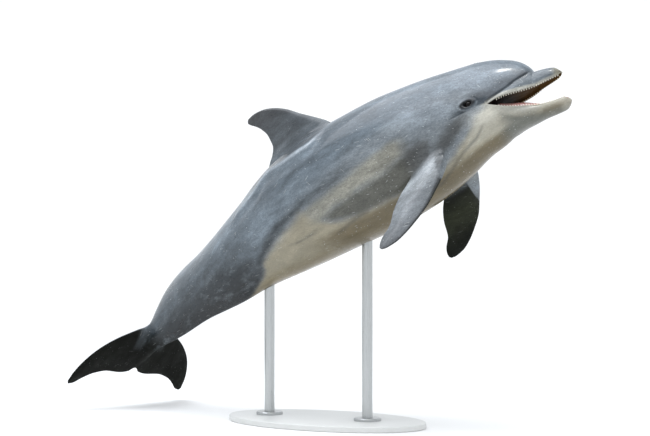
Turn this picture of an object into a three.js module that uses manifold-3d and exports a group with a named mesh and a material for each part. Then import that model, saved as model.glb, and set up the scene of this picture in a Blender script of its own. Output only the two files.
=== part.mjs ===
// A life-size bottlenose dolphin, leaping with its mouth open, held by a plain stand.
// Millimetres, +Z up. The dolphin heads along +X, its left side faces +Y, and the stand rests on z = 0.
//
// Body coordinates: s runs back along the spine from the snout tip to the fluke notch,
// l runs to the animal's left of the spine and h runs up from it, at right angles to the spine.

import * as THREE from "three";
import { mergeVertices } from "three/addons/utils/BufferGeometryUtils.js";
import Module from "manifold-3d";

const wasm = await Module();
wasm.setup();

// ---------------------------------------------------------------- driving dimensions

const LENGTH = 2500; // snout tip to fluke notch, along the spine
const GAP = 0.3; // clearance between pieces that touch
const MIDDLE = [1.2, -68.7, 925]; // where the middle of the spine lies

// The spine's direction in degrees, by share of the length from the snout.
const PITCH = [[0, 18], [0.15, 23], [0.35, 26], [0.55, 32], [0.75, 37], [0.9, 43], [1, 43.5]];
const HEADING = [[0, 11], [0.2, 9], [0.5, 0], [0.8, -10], [1, -17]];
const BANK = [[0, 12], [0.3, 9], [0.7, 6], [1, 7]];

// Melon, trunk and tail stock: s, top, bottom, half width, level of the widest point, keel.
// A keel of 1 is an ellipse; more draws the section in towards a ridge above and below.
const BODY = [
  [106, 52, -20, 28, 18, 1],
  [112, 68, -60, 40, 16, 1],
  [120, 85, -100, 50, 13, 1],
  [145, 117, -126, 64, 8, 1],
  [170, 140, -138, 75, 4, 1],
  [200, 158, -146, 88, 0, 1],
  [230, 171, -152, 100, -3, 1],
  [270, 183, -163, 114, -6, 1],
  [320, 192, -180, 130, -9, 1],
  [365, 198, -190, 142, -10, 1],
  [420, 205, -209, 153, -12, 1],
  [500, 217, -240, 168, -14, 1],
  [620, 230, -272, 188, -15, 1],
  [760, 241, -289, 207, -15, 1],
  [900, 242, -296, 216, -15, 1],
  [1050, 246, -287, 215, -14, 1],
  [1250, 234, -268, 200, -12, 1.05],
  [1360, 214, -252, 186, -10, 1.1],
  [1480, 181, -230, 168, -8, 1.2],
  [1600, 163, -208, 145, -6, 1.3],
  [1720, 149, -193, 121, -3, 1.4],
  [1840, 146, -165, 96, 0, 1.5],
  [1960, 156, -132, 76, 14, 1.6],
  [2080, 157, -108, 57, 28, 1.6],
  [2140, 146, -93, 51, 34, 1.6],
  [2200, 128, -70, 47, 36, 1.5],
  [2300, 88, -28, 44, 36, 1.4],
  [2400, 62, 5, 36, 34, 1.2],
  [2480, 42, 22, 20, 31, 1],
];

// Upper beak: s, top, half width. Its underside is the upper lip line.
const BEAK = [
  [-10, 24, 8],
  [0, 36, 18],
  [15, 47, 28],
  [40, 54, 35],
  [75, 58, 42],
  [110, 59, 50],
  [150, 50, 67],
  [180, 34, 79],
  [210, 16, 90],
  [250, 2, 101],
  [300, -12, 111],
  [330, -14, 111],
];

// Lower jaw: s, bottom, half width. Its upper side is the lower lip line.
const JAW = [
  [-16, -112, 8],
  [-8, -130, 19],
  [15, -139, 28],
  [55, -142, 36],
  [100, -143, 44],
  [150, -148, 58],
  [205, -152, 77],
  [250, -161, 92],
  [300, -177, 106],
  [330, -183, 108],
];

// The lip lines, from the snout back to the corner of the mouth: s, height.
const GAPE = 300;
const UPPER_LIP = [
  [-60, 30], [-10, 14], [25, 6], [70, -2], [110, -9], [155, -13], [210, -13], [255, -17], [300, -30],
];
const LOWER_LIP = [
  [-60, -84], [-10, -88], [55, -94], [100, -92], [165, -80], [220, -66], [260, -50], [300, -31],
];
const LIP_WIDTH = 17; // lip and gum, from the outer face to the edge of the mouth's hollow
const PALATE_RISE = 12; // roof of the mouth above the upper lip line
const FLOOR_DROP = 10; // floor of the mouth below the lower lip line
const TONGUE_RISE = 13; // top of the tongue above the lower lip line
const THROAT = 322; // where the hollow of the mouth ends

// Teeth: small cones, set in one row along each side of both jaws.
const TOOTH = { first: 14, last: 246, pitch: 11, radius: 3.3, height: 7.5, root: 3, sides: 4, inset: 9 };

const EYE = { s: 365, h: -6, radius: 17, sink: 11 };
const BLOWHOLE = { s: 338, reach: 17, bow: 14, width: 4, depth: 5 };

// Where the body is divided, by distance along the spine.
const NECK_FRONT = 480;
const CHEST_FRONT = 660;
const MIDDLE_FRONT = 990;
const LOIN_FRONT = 1345;
const STOCK_FRONT = 1780;

// A fin's stations: share of the span, leading edge (x, y), trailing edge (x, y), thickness.
// Dorsal fin: x is s and y is h.
const DORSAL = [
  [0, 925, 205, 1385, 185, 66],
  [0.15, 988, 272, 1330, 250, 46],
  [0.3, 1038, 321, 1287, 283, 36],
  [0.45, 1093, 374, 1266, 325, 29],
  [0.6, 1143, 428, 1268, 372, 23],
  [0.75, 1199, 471, 1284, 417, 18],
  [0.87, 1250, 494, 1304, 447, 13],
  [0.95, 1292, 501, 1322, 467, 9],
  [1, 1319, 498, 1330, 479, 6],
];

// Flukes: x is the distance out from the middle and y the distance back from the notch.
const FLUKE_LEVEL = 31; // height of the fluke plane above the spine's end
const FLUKE_DROOP = 8; // degrees that the flukes bend down from the tail
const FLUKE_TURN = 2; // degrees that they turn aside
const FLUKE = [
  [0, 0, -262, 0, 2, 48],
  [0.12, 46, -241, 26, 36, 42],
  [0.3, 112, -201, 75, 47, 32],
  [0.5, 190, -142, 140, 43, 24],
  [0.7, 252, -70, 205, 62, 18],
  [0.85, 290, 4, 252, 96, 13],
  [0.95, 310, 72, 286, 128, 9],
  [1, 314, 112, 306, 134, 6],
];

// Flippers: x runs down and out from the shoulder and y runs forward.
const SHOULDER = { left: [590, 172, -197], right: [610, -172, -205] }; // s, l, h
const FLIPPER_DROOP = { left: 47, right: 65 }; // degrees below level
const FLIPPER_SWING = { left: 8, right: 0 }; // degrees that the tip swings forward
const FLIPPER = [
  [0, -35, 110, -120, -5, 52],
  [0.15, 60, 52, -40, -60, 46],
  [0.3, 111, 12, 8, -97, 40],
  [0.45, 160, -29, 52, -137, 32],
  [0.62, 205, -85, 105, -172, 25],
  [0.78, 243, -143, 172, -203, 18],
  [0.9, 265, -195, 213, -243, 12],
  [0.97, 270, -235, 240, -258, 8],
  [1, 266, -250, 255, -261, 5],
];

// Display stand: a flat oval steel plate and two round rods, each on a foot of its own.
const BASE = { length: 920, width: 520, thickness: 24, bevel: 3, x: 110, y: -60, sides: 36 };
const ROD = { radius: 22, foot: 58, footHeight: 12, sides: 16 };
const ROD_AT = { front: 900, rear: 1450 }; // distance along the spine of the point each rod holds

const COLOUR = {
  cape: 0x4a5057,
  flank: 0x6a6e72,
  belly: 0xa89a88,
  fin: 0x3e4246,
  tongue: 0xb07a72,
  eye: 0x1c1714,
  plate: 0xd4d5d3,
  steel: 0xb4b8ba,
};

// ---------------------------------------------------------------- curves and frames

/** A smooth curve through [x, y] stations that never overshoots them (monotone cubic). */
function curveThrough(stations) {
  const x = stations.map((station) => station[0]);
  const y = stations.map((station) => station[1]);
  const last = x.length - 1;
  const rise = x.slice(1).map((end, i) => (y[i + 1] - y[i]) / (end - x[i]));
  const slope = x.map((_, i) => {
    if (i === 0 || i === last) {
      return rise[Math.min(i, last - 1)];
    }
    const [before, after] = [rise[i - 1], rise[i]];
    return before * after > 0 ? (2 * before * after) / (before + after) : 0;
  });
  return (at) => {
    const inside = Math.min(Math.max(at, x[0]), x[last]);
    const i = Math.min(x.findLastIndex((start) => start <= inside), last - 1);
    const width = x[i + 1] - x[i];
    const t = (inside - x[i]) / width;
    const blend = t * t * (3 - 2 * t);
    return (
      y[i] + (y[i + 1] - y[i]) * blend +
      width * t * (1 - t) * (slope[i] * (1 - t) - slope[i + 1] * t)
    );
  };
}

/** One curve for each column of a table after its first column, which holds the stations. */
function curvesThrough(table) {
  return table[0].slice(1).map((_, k) => curveThrough(table.map((row) => [row[0], row[k + 1]])));
}

const radians = THREE.MathUtils.degToRad;
const pitchAt = curveThrough(PITCH);
const headingAt = curveThrough(HEADING);
const bankAt = curveThrough(BANK);

/** The directions forward, left and up of the body at distance s along the spine. */
function directionsAt(s) {
  const share = s / LENGTH;
  const [pitch, heading, bank] = [pitchAt, headingAt, bankAt].map((at) => radians(at(share)));
  const forward = new THREE.Vector3(
    Math.cos(pitch) * Math.cos(heading),
    Math.cos(pitch) * Math.sin(heading),
    Math.sin(pitch),
  );
  const level = new THREE.Vector3(-Math.sin(heading), Math.cos(heading), 0);
  const left = level.applyAxisAngle(forward, -bank);
  return { forward, left, up: forward.clone().cross(left) };
}

/** The spine: a chain of short steps, shifted so that its middle lies at MIDDLE. */
const STEP = 5;
const SPINE_START = -100;
const SPINE_END = 2600;
const spine = [new THREE.Vector3()];
for (let s = SPINE_START; s < SPINE_END; s += STEP) {
  const stride = directionsAt(s + STEP / 2).forward.multiplyScalar(-STEP);
  spine.push(stride.add(spine.at(-1)));
}
const shift = new THREE.Vector3(...MIDDLE).sub(spine[(LENGTH / 2 - SPINE_START) / STEP]);
spine.forEach((point) => point.add(shift));

function spineAt(s) {
  const steps = (s - SPINE_START) / STEP;
  const i = Math.min(Math.floor(steps), spine.length - 2);
  return spine[i].clone().lerp(spine[i + 1], steps - i);
}

/** The point at body coordinates s, l and h. */
function place(s, l, h) {
  const { left, up } = directionsAt(s);
  return spineAt(s).addScaledVector(left, l).addScaledVector(up, h);
}

/** The matrix that sets a shape's x, y and z along forward, left and up at a body point. */
function bodyMatrix(s, l = 0, h = 0) {
  const { forward, left, up } = directionsAt(s);
  return new THREE.Matrix4().makeBasis(forward, left, up).setPosition(place(s, l, h));
}

// ---------------------------------------------------------------- solids

/** A closed geometry as a solid that can be joined and cut, with its faces turned outward. */
function solidOf(geometry) {
  const bare = geometry.clone();
  bare.deleteAttribute("normal");
  bare.deleteAttribute("uv");
  const merged = mergeVertices(bare, 1e-3);
  const points = merged.attributes.position;
  const triangles = Uint32Array.from(merged.index.array);
  const [a, b, c] = [new THREE.Vector3(), new THREE.Vector3(), new THREE.Vector3()];
  const origin = new THREE.Vector3().fromBufferAttribute(points, 0);
  let volume = 0;
  for (let i = 0; i < triangles.length; i += 3) {
    a.fromBufferAttribute(points, triangles[i]).sub(origin);
    b.fromBufferAttribute(points, triangles[i + 1]).sub(origin);
    c.fromBufferAttribute(points, triangles[i + 2]).sub(origin);
    volume += a.dot(b.cross(c));
  }
  if (volume < 0) {
    triangles.reverse();
  }
  const mesh = new wasm.Mesh({ numProp: 3, vertProperties: points.array, triVerts: triangles });
  return new wasm.Manifold(mesh);
}

/** A closed solid through rings with equal numbers of points; a fan closes each end. */
function loft(rings) {
  const sides = rings[0].length;
  const middleOf = (ring) => ring.reduce((sum, p) => sum.add(p), new THREE.Vector3()).divideScalar(sides);
  const points = [...rings.flat(), middleOf(rings[0]), middleOf(rings.at(-1))];
  const front = points.length - 2;
  const back = points.length - 1;
  const lastRing = (rings.length - 1) * sides;
  const triangles = [];
  for (let side = 0; side < sides; side += 1) {
    const next = (side + 1) % sides;
    triangles.push(front, next, side);
    triangles.push(back, lastRing + side, lastRing + next);
    for (let ring = 0; ring < lastRing; ring += sides) {
      triangles.push(ring + side, ring + next, ring + sides + next);
      triangles.push(ring + side, ring + sides + next, ring + sides + side);
    }
  }
  return solidOf(new THREE.BufferGeometry().setFromPoints(points).setIndex(triangles));
}

/** Evenly spaced values from the first to the last, about one step apart. */
function spaced(first, last, step) {
  const count = Math.max(1, Math.round((last - first) / step));
  return Array.from({ length: count + 1 }, (_, i) => first + ((last - first) * i) / count);
}

/**
 * One section across the body as a ring of points: half ellipses above and below the widest
 * level. Powers over 1 draw a half in towards a ridge and powers under 1 square it off.
 */
function sectionRing(s, { top, bottom, width, level, above = 1, below = 1 }, sides) {
  return Array.from({ length: sides }, (_, i) => {
    const turn = (2 * Math.PI * i) / sides;
    const across = Math.cos(turn);
    const rise = Math.sin(turn);
    const upper = rise > 0;
    const reach = upper ? top - level : level - bottom;
    const power = upper ? above : below;
    return place(s, width * Math.sign(across) * Math.abs(across) ** power, level + reach * rise);
  });
}

/** A prism straight across the head whose profile is a convex outline of [s, h] points. */
function profilePrism(outline) {
  const reach = 400;
  const { left } = directionsAt(GAPE);
  return loft([reach, -reach].map((l) => outline.map(([s, h]) => place(s, 0, h).addScaledVector(left, l))));
}

/** A block that fills all space ahead of the plane across the spine at s (side 1), or behind it (-1). */
function beyond(s, side) {
  const size = 2 * LENGTH;
  const block = new THREE.BoxGeometry(size, size, size);
  block.translate((side * size) / 2, 0, 0);
  return solidOf(block.applyMatrix4(bodyMatrix(s)));
}

/** The stretch of a solid between two planes across the spine. */
function between(solid, front, rear) {
  return solid.subtract(beyond(front + GAP / 2, 1)).subtract(beyond(rear - GAP / 2, -1));
}

// ---------------------------------------------------------------- trunk

const BODY_SIDES = 24;
const BODY_STATIONS = [
  106, 112, 120, 132, 145, 170, 200, 235, 275, 320, 365, 420,
  ...spaced(480, 2060, 88),
  2120, 2180, 2240, 2300, 2360, 2420, 2480,
];
const [bodyTop, bodyBottom, bodyWidth, bodyLevel, bodyKeel] = curvesThrough(BODY);

/** The trunk with the melon and tail stock, swelled all round by some clearance. */
function trunkSolid(swell) {
  return loft(BODY_STATIONS.map((s) => sectionRing(s, {
    top: bodyTop(s) + swell,
    bottom: bodyBottom(s) - swell,
    width: bodyWidth(s) + swell,
    level: bodyLevel(s),
    above: bodyKeel(s),
    below: bodyKeel(s),
  }, BODY_SIDES)));
}

const trunk = trunkSolid(0);
const trunkClearance = trunkSolid(1.5 * GAP);

// ---------------------------------------------------------------- mouth

const upperLip = curveThrough(UPPER_LIP);
const lowerLip = curveThrough(LOWER_LIP);
const [beakTop, beakWidth] = curvesThrough(BEAK);
const [jawBottom, jawWidth] = curvesThrough(JAW);
const OVERCUT = 8; // the jaws run this far into the mouth before it is cut

function beakSolid() {
  const stations = [-10, -4, 4, 15, 30, 50, 80, 110, 145, 180, 215, 260, 300, 330];
  return loft(stations.map((s) => {
    const bottom = upperLip(s) - OVERCUT;
    const top = beakTop(s);
    const level = bottom + 0.38 * (top - bottom);
    return sectionRing(s, { top, bottom, width: beakWidth(s), level, below: 0.5 }, 16);
  }));
}

function jawSolid() {
  const stations = [-16, -12, -6, 4, 18, 40, 70, 110, 150, 200, 250, 300, 330];
  return loft(stations.map((s) => {
    const top = lowerLip(s) + OVERCUT;
    const bottom = jawBottom(s);
    const level = top - 0.38 * (top - bottom);
    return sectionRing(s, { top, bottom, width: jawWidth(s), level, above: 0.5 }, 16);
  }));
}

/** The open wedge between the lips, wider than the head. */
function mouthOpening() {
  const reach = 230;
  const edge = 0.3;
  return loft([-60, -10, 25, 55, 85, 115, 150, 185, 220, 255, 280, GAPE].map((s) => [
    place(s, reach, upperLip(s) + edge),
    place(s, -reach, upperLip(s) + edge),
    place(s, -reach, lowerLip(s) - edge),
    place(s, reach, lowerLip(s) - edge),
  ]));
}

/** The hollow of the mouth inside the tooth rows, shrunk all round by some clearance. */
function mouthHollow(shrink) {
  return loft([12, 30, 60, 100, 150, 200, 250, 290, THROAT].map((s) => {
    const fade = 1 - 0.45 * THREE.MathUtils.smoothstep(s, GAPE - 20, THROAT);
    const top = upperLip(s) + PALATE_RISE * fade - shrink;
    const bottom = lowerLip(s) - FLOOR_DROP * fade + shrink;
    const width = (Math.min(beakWidth(s), jawWidth(s)) - LIP_WIDTH) * fade - shrink;
    const level = (top + bottom) / 2;
    return sectionRing(s, { top, bottom, width, level, above: 0.5, below: 0.5 }, 10);
  }));
}

/** One tooth row on each side of a jaw; facing is -1 for the upper jaw and 1 for the lower. */
function toothRows(lip, width, facing) {
  const rows = [];
  const length = TOOTH.height + TOOTH.root;
  for (let s = TOOTH.first; s <= TOOTH.last; s += TOOTH.pitch) {
    for (const side of [-1, 1]) {
      const cone = new THREE.ConeGeometry(TOOTH.radius, length, TOOTH.sides);
      cone.translate(0, length / 2 - TOOTH.root, 0);
      cone.rotateX((facing * Math.PI) / 2);
      cone.applyMatrix4(bodyMatrix(s, side * (width(s) - TOOTH.inset), lip(s)));
      rows.push(solidOf(cone));
    }
  }
  return wasm.Manifold.union(rows);
}

/** A slab across the head through two points of its profile, as thick as the gap. */
function profileSlab([fromS, fromH], [toS, toH]) {
  const along = new THREE.Vector2(toS - fromS, toH - fromH).normalize();
  const corner = (s, h, end, side) => [
    s + end * along.x - (side * along.y * GAP) / 2,
    h + end * along.y + (side * along.x * GAP) / 2,
  ];
  return profilePrism([
    corner(fromS, fromH, -1, 1),
    corner(toS, toH, 1, 1),
    corner(toS, toH, 1, -1),
    corner(fromS, fromH, -1, -1),
  ]);
}

// ---------------------------------------------------------------- fins

/** Half thickness of a rounded foil, as a share of its full thickness, at a share of the chord. */
function foil(share) {
  const rounded = 0.2969 * Math.sqrt(share);
  return 5 * (rounded + share * (-0.126 + share * (-0.3516 + share * (0.2843 - 0.1036 * share))));
}

/**
 * A fin through its stations, with a rounded foil for its section.
 * toWorld takes x and y in the fin's plane and z across it.
 */
function finSolid(table, toWorld, shares) {
  const sides = 14;
  const [leadX, leadY, trailX, trailY, thickness] = curvesThrough(table);
  return loft(shares.map((share) => Array.from({ length: sides }, (_, i) => {
    const turn = (2 * Math.PI * i) / sides;
    const chord = (1 - Math.cos(turn)) / 2;
    const x = THREE.MathUtils.lerp(leadX(share), trailX(share), chord);
    const y = THREE.MathUtils.lerp(leadY(share), trailY(share), chord);
    return toWorld(x, y, Math.sign(Math.sin(turn)) * thickness(share) * foil(chord));
  })));
}

// The shares of the span at which fins have a ring of points.
const FIN_SHARES = [0, 0.12, 0.24, 0.36, 0.48, 0.59, 0.69, 0.78, 0.86, 0.92, 0.97, 1];

function dorsalFin() {
  return finSolid(DORSAL, (x, y, z) => place(x, z, y), FIN_SHARES).subtract(trunkClearance);
}

/** One fluke; side is 1 for the left and -1 for the right. */
function fluke(side) {
  const matrix = bodyMatrix(LENGTH, 0, FLUKE_LEVEL);
  matrix.multiply(new THREE.Matrix4().makeRotationZ(radians(FLUKE_TURN)));
  matrix.multiply(new THREE.Matrix4().makeRotationY(radians(-FLUKE_DROOP)));
  const toWorld = (x, y, z) => new THREE.Vector3(-y, side * (x + GAP / 2), z).applyMatrix4(matrix);
  return finSolid(FLUKE, toWorld, FIN_SHARES).subtract(trunkClearance);
}

/** One flipper; side is 1 for the left and -1 for the right. */
function flipper(side, shoulder, droop, swing) {
  const matrix = bodyMatrix(...shoulder);
  const [fall, turn] = [radians(droop), radians(swing)];
  const toWorld = (x, y, z) => {
    const out = x * Math.cos(turn) - y * Math.sin(turn);
    const forward = y * Math.cos(turn) + x * Math.sin(turn);
    const across = out * Math.cos(fall) + z * Math.sin(fall);
    const rise = z * Math.cos(fall) - out * Math.sin(fall);
    return new THREE.Vector3(forward, side * across, rise).applyMatrix4(matrix);
  };
  return finSolid(FLIPPER, toWorld, FIN_SHARES).subtract(trunkClearance);
}

// ---------------------------------------------------------------- head pieces

/** A ball at the eye, in the surface of the head. */
function eyeBall(side, radius) {
  const ball = new THREE.SphereGeometry(radius, 10, 8);
  const l = side * (bodyWidth(EYE.s) - EYE.sink);
  return solidOf(ball.applyMatrix4(bodyMatrix(EYE.s, l, EYE.h)));
}

/** The crescent groove of the blowhole, with its horns forward. */
function blowholeGroove() {
  const { s, reach, bow, width, depth } = BLOWHOLE;
  const crescent = new THREE.Shape();
  crescent.moveTo(bow / 2, -reach);
  crescent.quadraticCurveTo(-bow / 2 - 2 * width, 0, bow / 2, reach);
  crescent.quadraticCurveTo(-bow / 2, 0, bow / 2, -reach);
  const cutter = new THREE.ExtrudeGeometry(crescent, {
    depth: 3 * depth,
    bevelEnabled: false,
    curveSegments: 8,
  });
  cutter.translate(0, 0, -depth);
  return solidOf(cutter.applyMatrix4(bodyMatrix(s, 0, bodyTop(s))));
}

function tongueSolid() {
  const stations = [96, 104, 125, 160, 200, 240, 280, 312];
  const body = loft(stations.map((s) => {
    const blunt = Math.sqrt(THREE.MathUtils.clamp((s - 92) / 40, 0, 1));
    const width = 0.72 * (jawWidth(s) - LIP_WIDTH) * blunt;
    const top = lowerLip(s) + TONGUE_RISE * blunt;
    return sectionRing(s, { top, bottom: top - 40, width, level: top - 18, above: 0.8 }, 14);
  }));
  return body.intersect(mouthHollow(1.5 * GAP));
}

// ---------------------------------------------------------------- display stand

function standBase() {
  const { length, width, thickness, bevel, x, y, sides } = BASE;
  const outline = new THREE.EllipseCurve(0, 0, length / 2 - bevel, width / 2 - bevel);
  const plate = new THREE.ExtrudeGeometry(new THREE.Shape(outline.getPoints(sides).slice(0, sides)), {
    depth: thickness - 2 * bevel,
    bevelThickness: bevel,
    bevelSize: bevel,
    bevelSegments: 1,
    steps: 1,
  });
  return solidOf(plate.translate(x, y, bevel));
}

/** A solid turned about the upright line through a point, from [radius, height] points. */
function turnedSolid(profile, { x, y }) {
  const lathe = new THREE.LatheGeometry(profile.map(([r, h]) => new THREE.Vector2(r, h)), ROD.sides);
  return solidOf(lathe.rotateX(Math.PI / 2).translate(x, y, 0));
}

/** The round foot on the plate below the spine at distance s. */
function standFoot(s) {
  const low = BASE.thickness + GAP;
  const high = low + ROD.footHeight;
  const profile = [[0, low], [ROD.foot, low], [ROD.foot, high - 3], [ROD.foot - 3, high], [0, high]];
  return turnedSolid(profile, spineAt(s));
}

/** A rod from its foot up to the belly below distance s. */
function standRod(s) {
  const axis = spineAt(s);
  const low = BASE.thickness + ROD.footHeight + 2 * GAP;
  const profile = [[0, low], [ROD.radius, low], [ROD.radius, axis.z], [0, axis.z]];
  return turnedSolid(profile, axis).subtract(trunkClearance);
}

// ---------------------------------------------------------------- the parted body

const sockets = [-1, 1].map((side) => eyeBall(side, EYE.radius + 1.5 * GAP));
const skull = trunk.subtract(beyond(NECK_FRONT - GAP / 2, -1))
  .add(beakSolid())
  .add(jawSolid())
  .subtract(mouthOpening())
  .subtract(mouthHollow(0))
  .subtract(blowholeGroove())
  .subtract(wasm.Manifold.union(sockets));

// The head parts from the melon's crease to the corner of the mouth, and on down to the throat.
const CREASE = [60, 86];
const CORNER = [GAPE, -30.5];
const THROAT_LINE = [392, -260];
const AHEAD = -80;
const upperRegion = profilePrism([[AHEAD, 154], CREASE, CORNER, [AHEAD, -45]]);
const lowerRegion = profilePrism([[AHEAD, -45], CORNER, THROAT_LINE, [AHEAD, -260]]);
const parted = skull.subtract(profileSlab(CREASE, CORNER)).subtract(profileSlab(CORNER, THROAT_LINE));

const pieces = {
  head: [parted.subtract(upperRegion).subtract(lowerRegion), COLOUR.cape],
  upper_jaw: [parted.intersect(upperRegion).add(toothRows(upperLip, beakWidth, -1)), COLOUR.flank],
  lower_jaw: [parted.intersect(lowerRegion).add(toothRows(lowerLip, jawWidth, 1)), COLOUR.belly],
  tongue: [tongueSolid(), COLOUR.tongue],
  eye_left: [eyeBall(1, EYE.radius), COLOUR.eye],
  eye_right: [eyeBall(-1, EYE.radius), COLOUR.eye],
  neck: [between(trunk, NECK_FRONT, CHEST_FRONT), COLOUR.flank],
  chest: [between(trunk, CHEST_FRONT, MIDDLE_FRONT), COLOUR.belly],
  trunk_middle: [between(trunk, MIDDLE_FRONT, LOIN_FRONT), COLOUR.flank],
  loin: [between(trunk, LOIN_FRONT, STOCK_FRONT), COLOUR.cape],
  tail_stock: [trunk.subtract(beyond(STOCK_FRONT + GAP / 2, 1)), COLOUR.cape],
  dorsal_fin: [dorsalFin(), COLOUR.fin],
  flipper_left: [flipper(1, SHOULDER.left, FLIPPER_DROOP.left, FLIPPER_SWING.left), COLOUR.fin],
  flipper_right: [flipper(-1, SHOULDER.right, FLIPPER_DROOP.right, FLIPPER_SWING.right), COLOUR.fin],
  fluke_left: [fluke(1), COLOUR.fin],
  fluke_right: [fluke(-1), COLOUR.fin],
  stand_base: [standBase(), COLOUR.plate],
  stand_foot_front: [standFoot(ROD_AT.front), COLOUR.steel],
  stand_foot_rear: [standFoot(ROD_AT.rear), COLOUR.steel],
  stand_rod_front: [standRod(ROD_AT.front), COLOUR.steel],
  stand_rod_rear: [standRod(ROD_AT.rear), COLOUR.steel],
};

/** A solid's surface as a geometry with flat facets. */
function geometryOf(solid) {
  const mesh = solid.getMesh();
  const geometry = new THREE.BufferGeometry();
  geometry.setAttribute("position", new THREE.BufferAttribute(mesh.vertProperties, 3));
  geometry.setIndex(new THREE.BufferAttribute(mesh.triVerts, 1));
  geometry.computeVertexNormals();
  return geometry;
}

const dolphin = new THREE.Group();
for (const [name, [solid, color]] of Object.entries(pieces)) {
  const metal = color === COLOUR.steel;
  const material = new THREE.MeshStandardMaterial({
    color,
    roughness: metal ? 0.35 : 0.28,
    metalness: metal ? 1 : 0,
    flatShading: true,
  });
  const mesh = new THREE.Mesh(geometryOf(solid), material);
  mesh.name = name;
  dolphin.add(mesh);
}

export default dolphin;
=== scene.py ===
# A life-size museum model of a leaping bottlenose dolphin with its mouth open, on a plain stand.

import bmesh
import bpy
import numpy as np
from mathutils import Matrix, Vector


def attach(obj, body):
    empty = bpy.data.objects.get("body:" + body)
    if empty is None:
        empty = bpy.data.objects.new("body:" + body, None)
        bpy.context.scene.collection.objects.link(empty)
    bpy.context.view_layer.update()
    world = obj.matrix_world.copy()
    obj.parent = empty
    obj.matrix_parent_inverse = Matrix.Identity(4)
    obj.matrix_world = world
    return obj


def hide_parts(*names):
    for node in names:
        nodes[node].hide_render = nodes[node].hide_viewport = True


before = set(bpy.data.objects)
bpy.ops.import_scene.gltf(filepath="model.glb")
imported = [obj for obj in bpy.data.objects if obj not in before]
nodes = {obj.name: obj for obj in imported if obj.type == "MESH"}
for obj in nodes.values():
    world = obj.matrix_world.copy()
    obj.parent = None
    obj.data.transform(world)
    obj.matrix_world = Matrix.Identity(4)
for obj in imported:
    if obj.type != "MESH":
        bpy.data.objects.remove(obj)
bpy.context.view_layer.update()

# ------------------------------------------------------------------ camera, floor and lights
# A studio with a seamless pale floor. The long lens stands level with the dolphin's chest,
# 30 degrees ahead of its right side, 7 m away.

scene = bpy.context.scene
AIM = Vector((0.1112, -0.0687, 0.875))
TOWARDS_LENS = Vector((0.5, -0.8660, 0.0))

lens = bpy.data.cameras.new("camera")
lens.lens = 91.1
lens.sensor_width = 36.0
camera = bpy.data.objects.new("camera", lens)
camera.matrix_world = (
    Matrix.Translation(AIM + 7.0 * TOWARDS_LENS) @ TOWARDS_LENS.to_track_quat("Z", "Y").to_matrix().to_4x4()
)
scene.collection.objects.link(camera)
scene.camera = camera


def linear(code):
    """The linear colour of an sRGB hex code, with an alpha of 1."""
    channels = np.array([int(code[i : i + 2], 16) / 255 for i in (1, 3, 5)])
    return (*np.where(channels < 0.04045, channels / 12.92, ((channels + 0.055) / 1.055) ** 2.4), 1.0)


def new_material(name):
    """A material with a node tree, and its Principled shader."""
    material = bpy.data.materials.new(name)
    material.use_nodes = True
    return material, material.node_tree.nodes["Principled BSDF"]


def add_node(material, kind, settings=(), **inputs):
    """Adds a node, sets its settings, and sets or links each input, named or numbered as in_3."""
    node = material.node_tree.nodes.new(kind)
    for key, value in dict(settings).items():
        setattr(node, key, value)
    join(material, node, **inputs)
    return node


def join(material, node, **inputs):
    """Sets or links inputs of a node. An input is in_3 for the third, or its name with _ for spaces."""
    for key, value in inputs.items():
        spot = node.inputs[int(key[3:])] if key.startswith("in_") else node.inputs[key.replace("_", " ")]
        if isinstance(value, bpy.types.NodeSocket):
            material.node_tree.links.new(value, spot)
        else:
            spot.default_value = value


def build_mesh(name, sheets, weld=2e-5):
    """One smooth object through sheets of points, each an array of rows x columns x 3 in metres.

    Neighbouring points of a sheet make a quad. Points that meet are welded, within a sheet and
    between sheets, and the faces are turned outward.
    """
    points = np.concatenate([sheet.reshape(-1, 3) for sheet in sheets])
    quads = []
    start = 0
    for sheet in sheets:
        index = start + np.arange(sheet[..., 0].size).reshape(sheet.shape[:2])
        corners = [index[:-1, :-1], index[1:, :-1], index[1:, 1:], index[:-1, 1:]]
        quads.append(np.stack(corners, axis=-1).reshape(-1, 4))
        start += sheet[..., 0].size
    quads = np.concatenate(quads)
    mesh = bpy.data.meshes.new(name)
    mesh.vertices.add(len(points))
    mesh.vertices.foreach_set("co", points.ravel())
    mesh.loops.add(quads.size)
    mesh.loops.foreach_set("vertex_index", quads.ravel())
    mesh.polygons.add(len(quads))
    mesh.polygons.foreach_set("loop_start", np.arange(0, quads.size, 4))
    mesh.update(calc_edges=True)
    shell = bmesh.new()
    shell.from_mesh(mesh)
    bmesh.ops.remove_doubles(shell, verts=shell.verts, dist=weld)
    bmesh.ops.recalc_face_normals(shell, faces=shell.faces)
    shell.to_mesh(mesh)
    shell.free()
    mesh.polygons.foreach_set("use_smooth", np.ones(len(mesh.polygons), dtype=bool))
    piece = bpy.data.objects.new(name, mesh)
    scene.collection.objects.link(piece)
    return piece


def points_of(mesh):
    """The places of a mesh's points, as an array of count x 3."""
    points = np.empty(len(mesh.vertices) * 3)
    mesh.vertices.foreach_get("co", points)
    return points.reshape(-1, 3)


def write_share(piece, name, share):
    """Keeps a number for each point of a piece, for its material to read."""
    kept = piece.data.attributes.new(name, "FLOAT", "POINT")
    kept.data.foreach_set("value", share.astype(np.float32))


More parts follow.
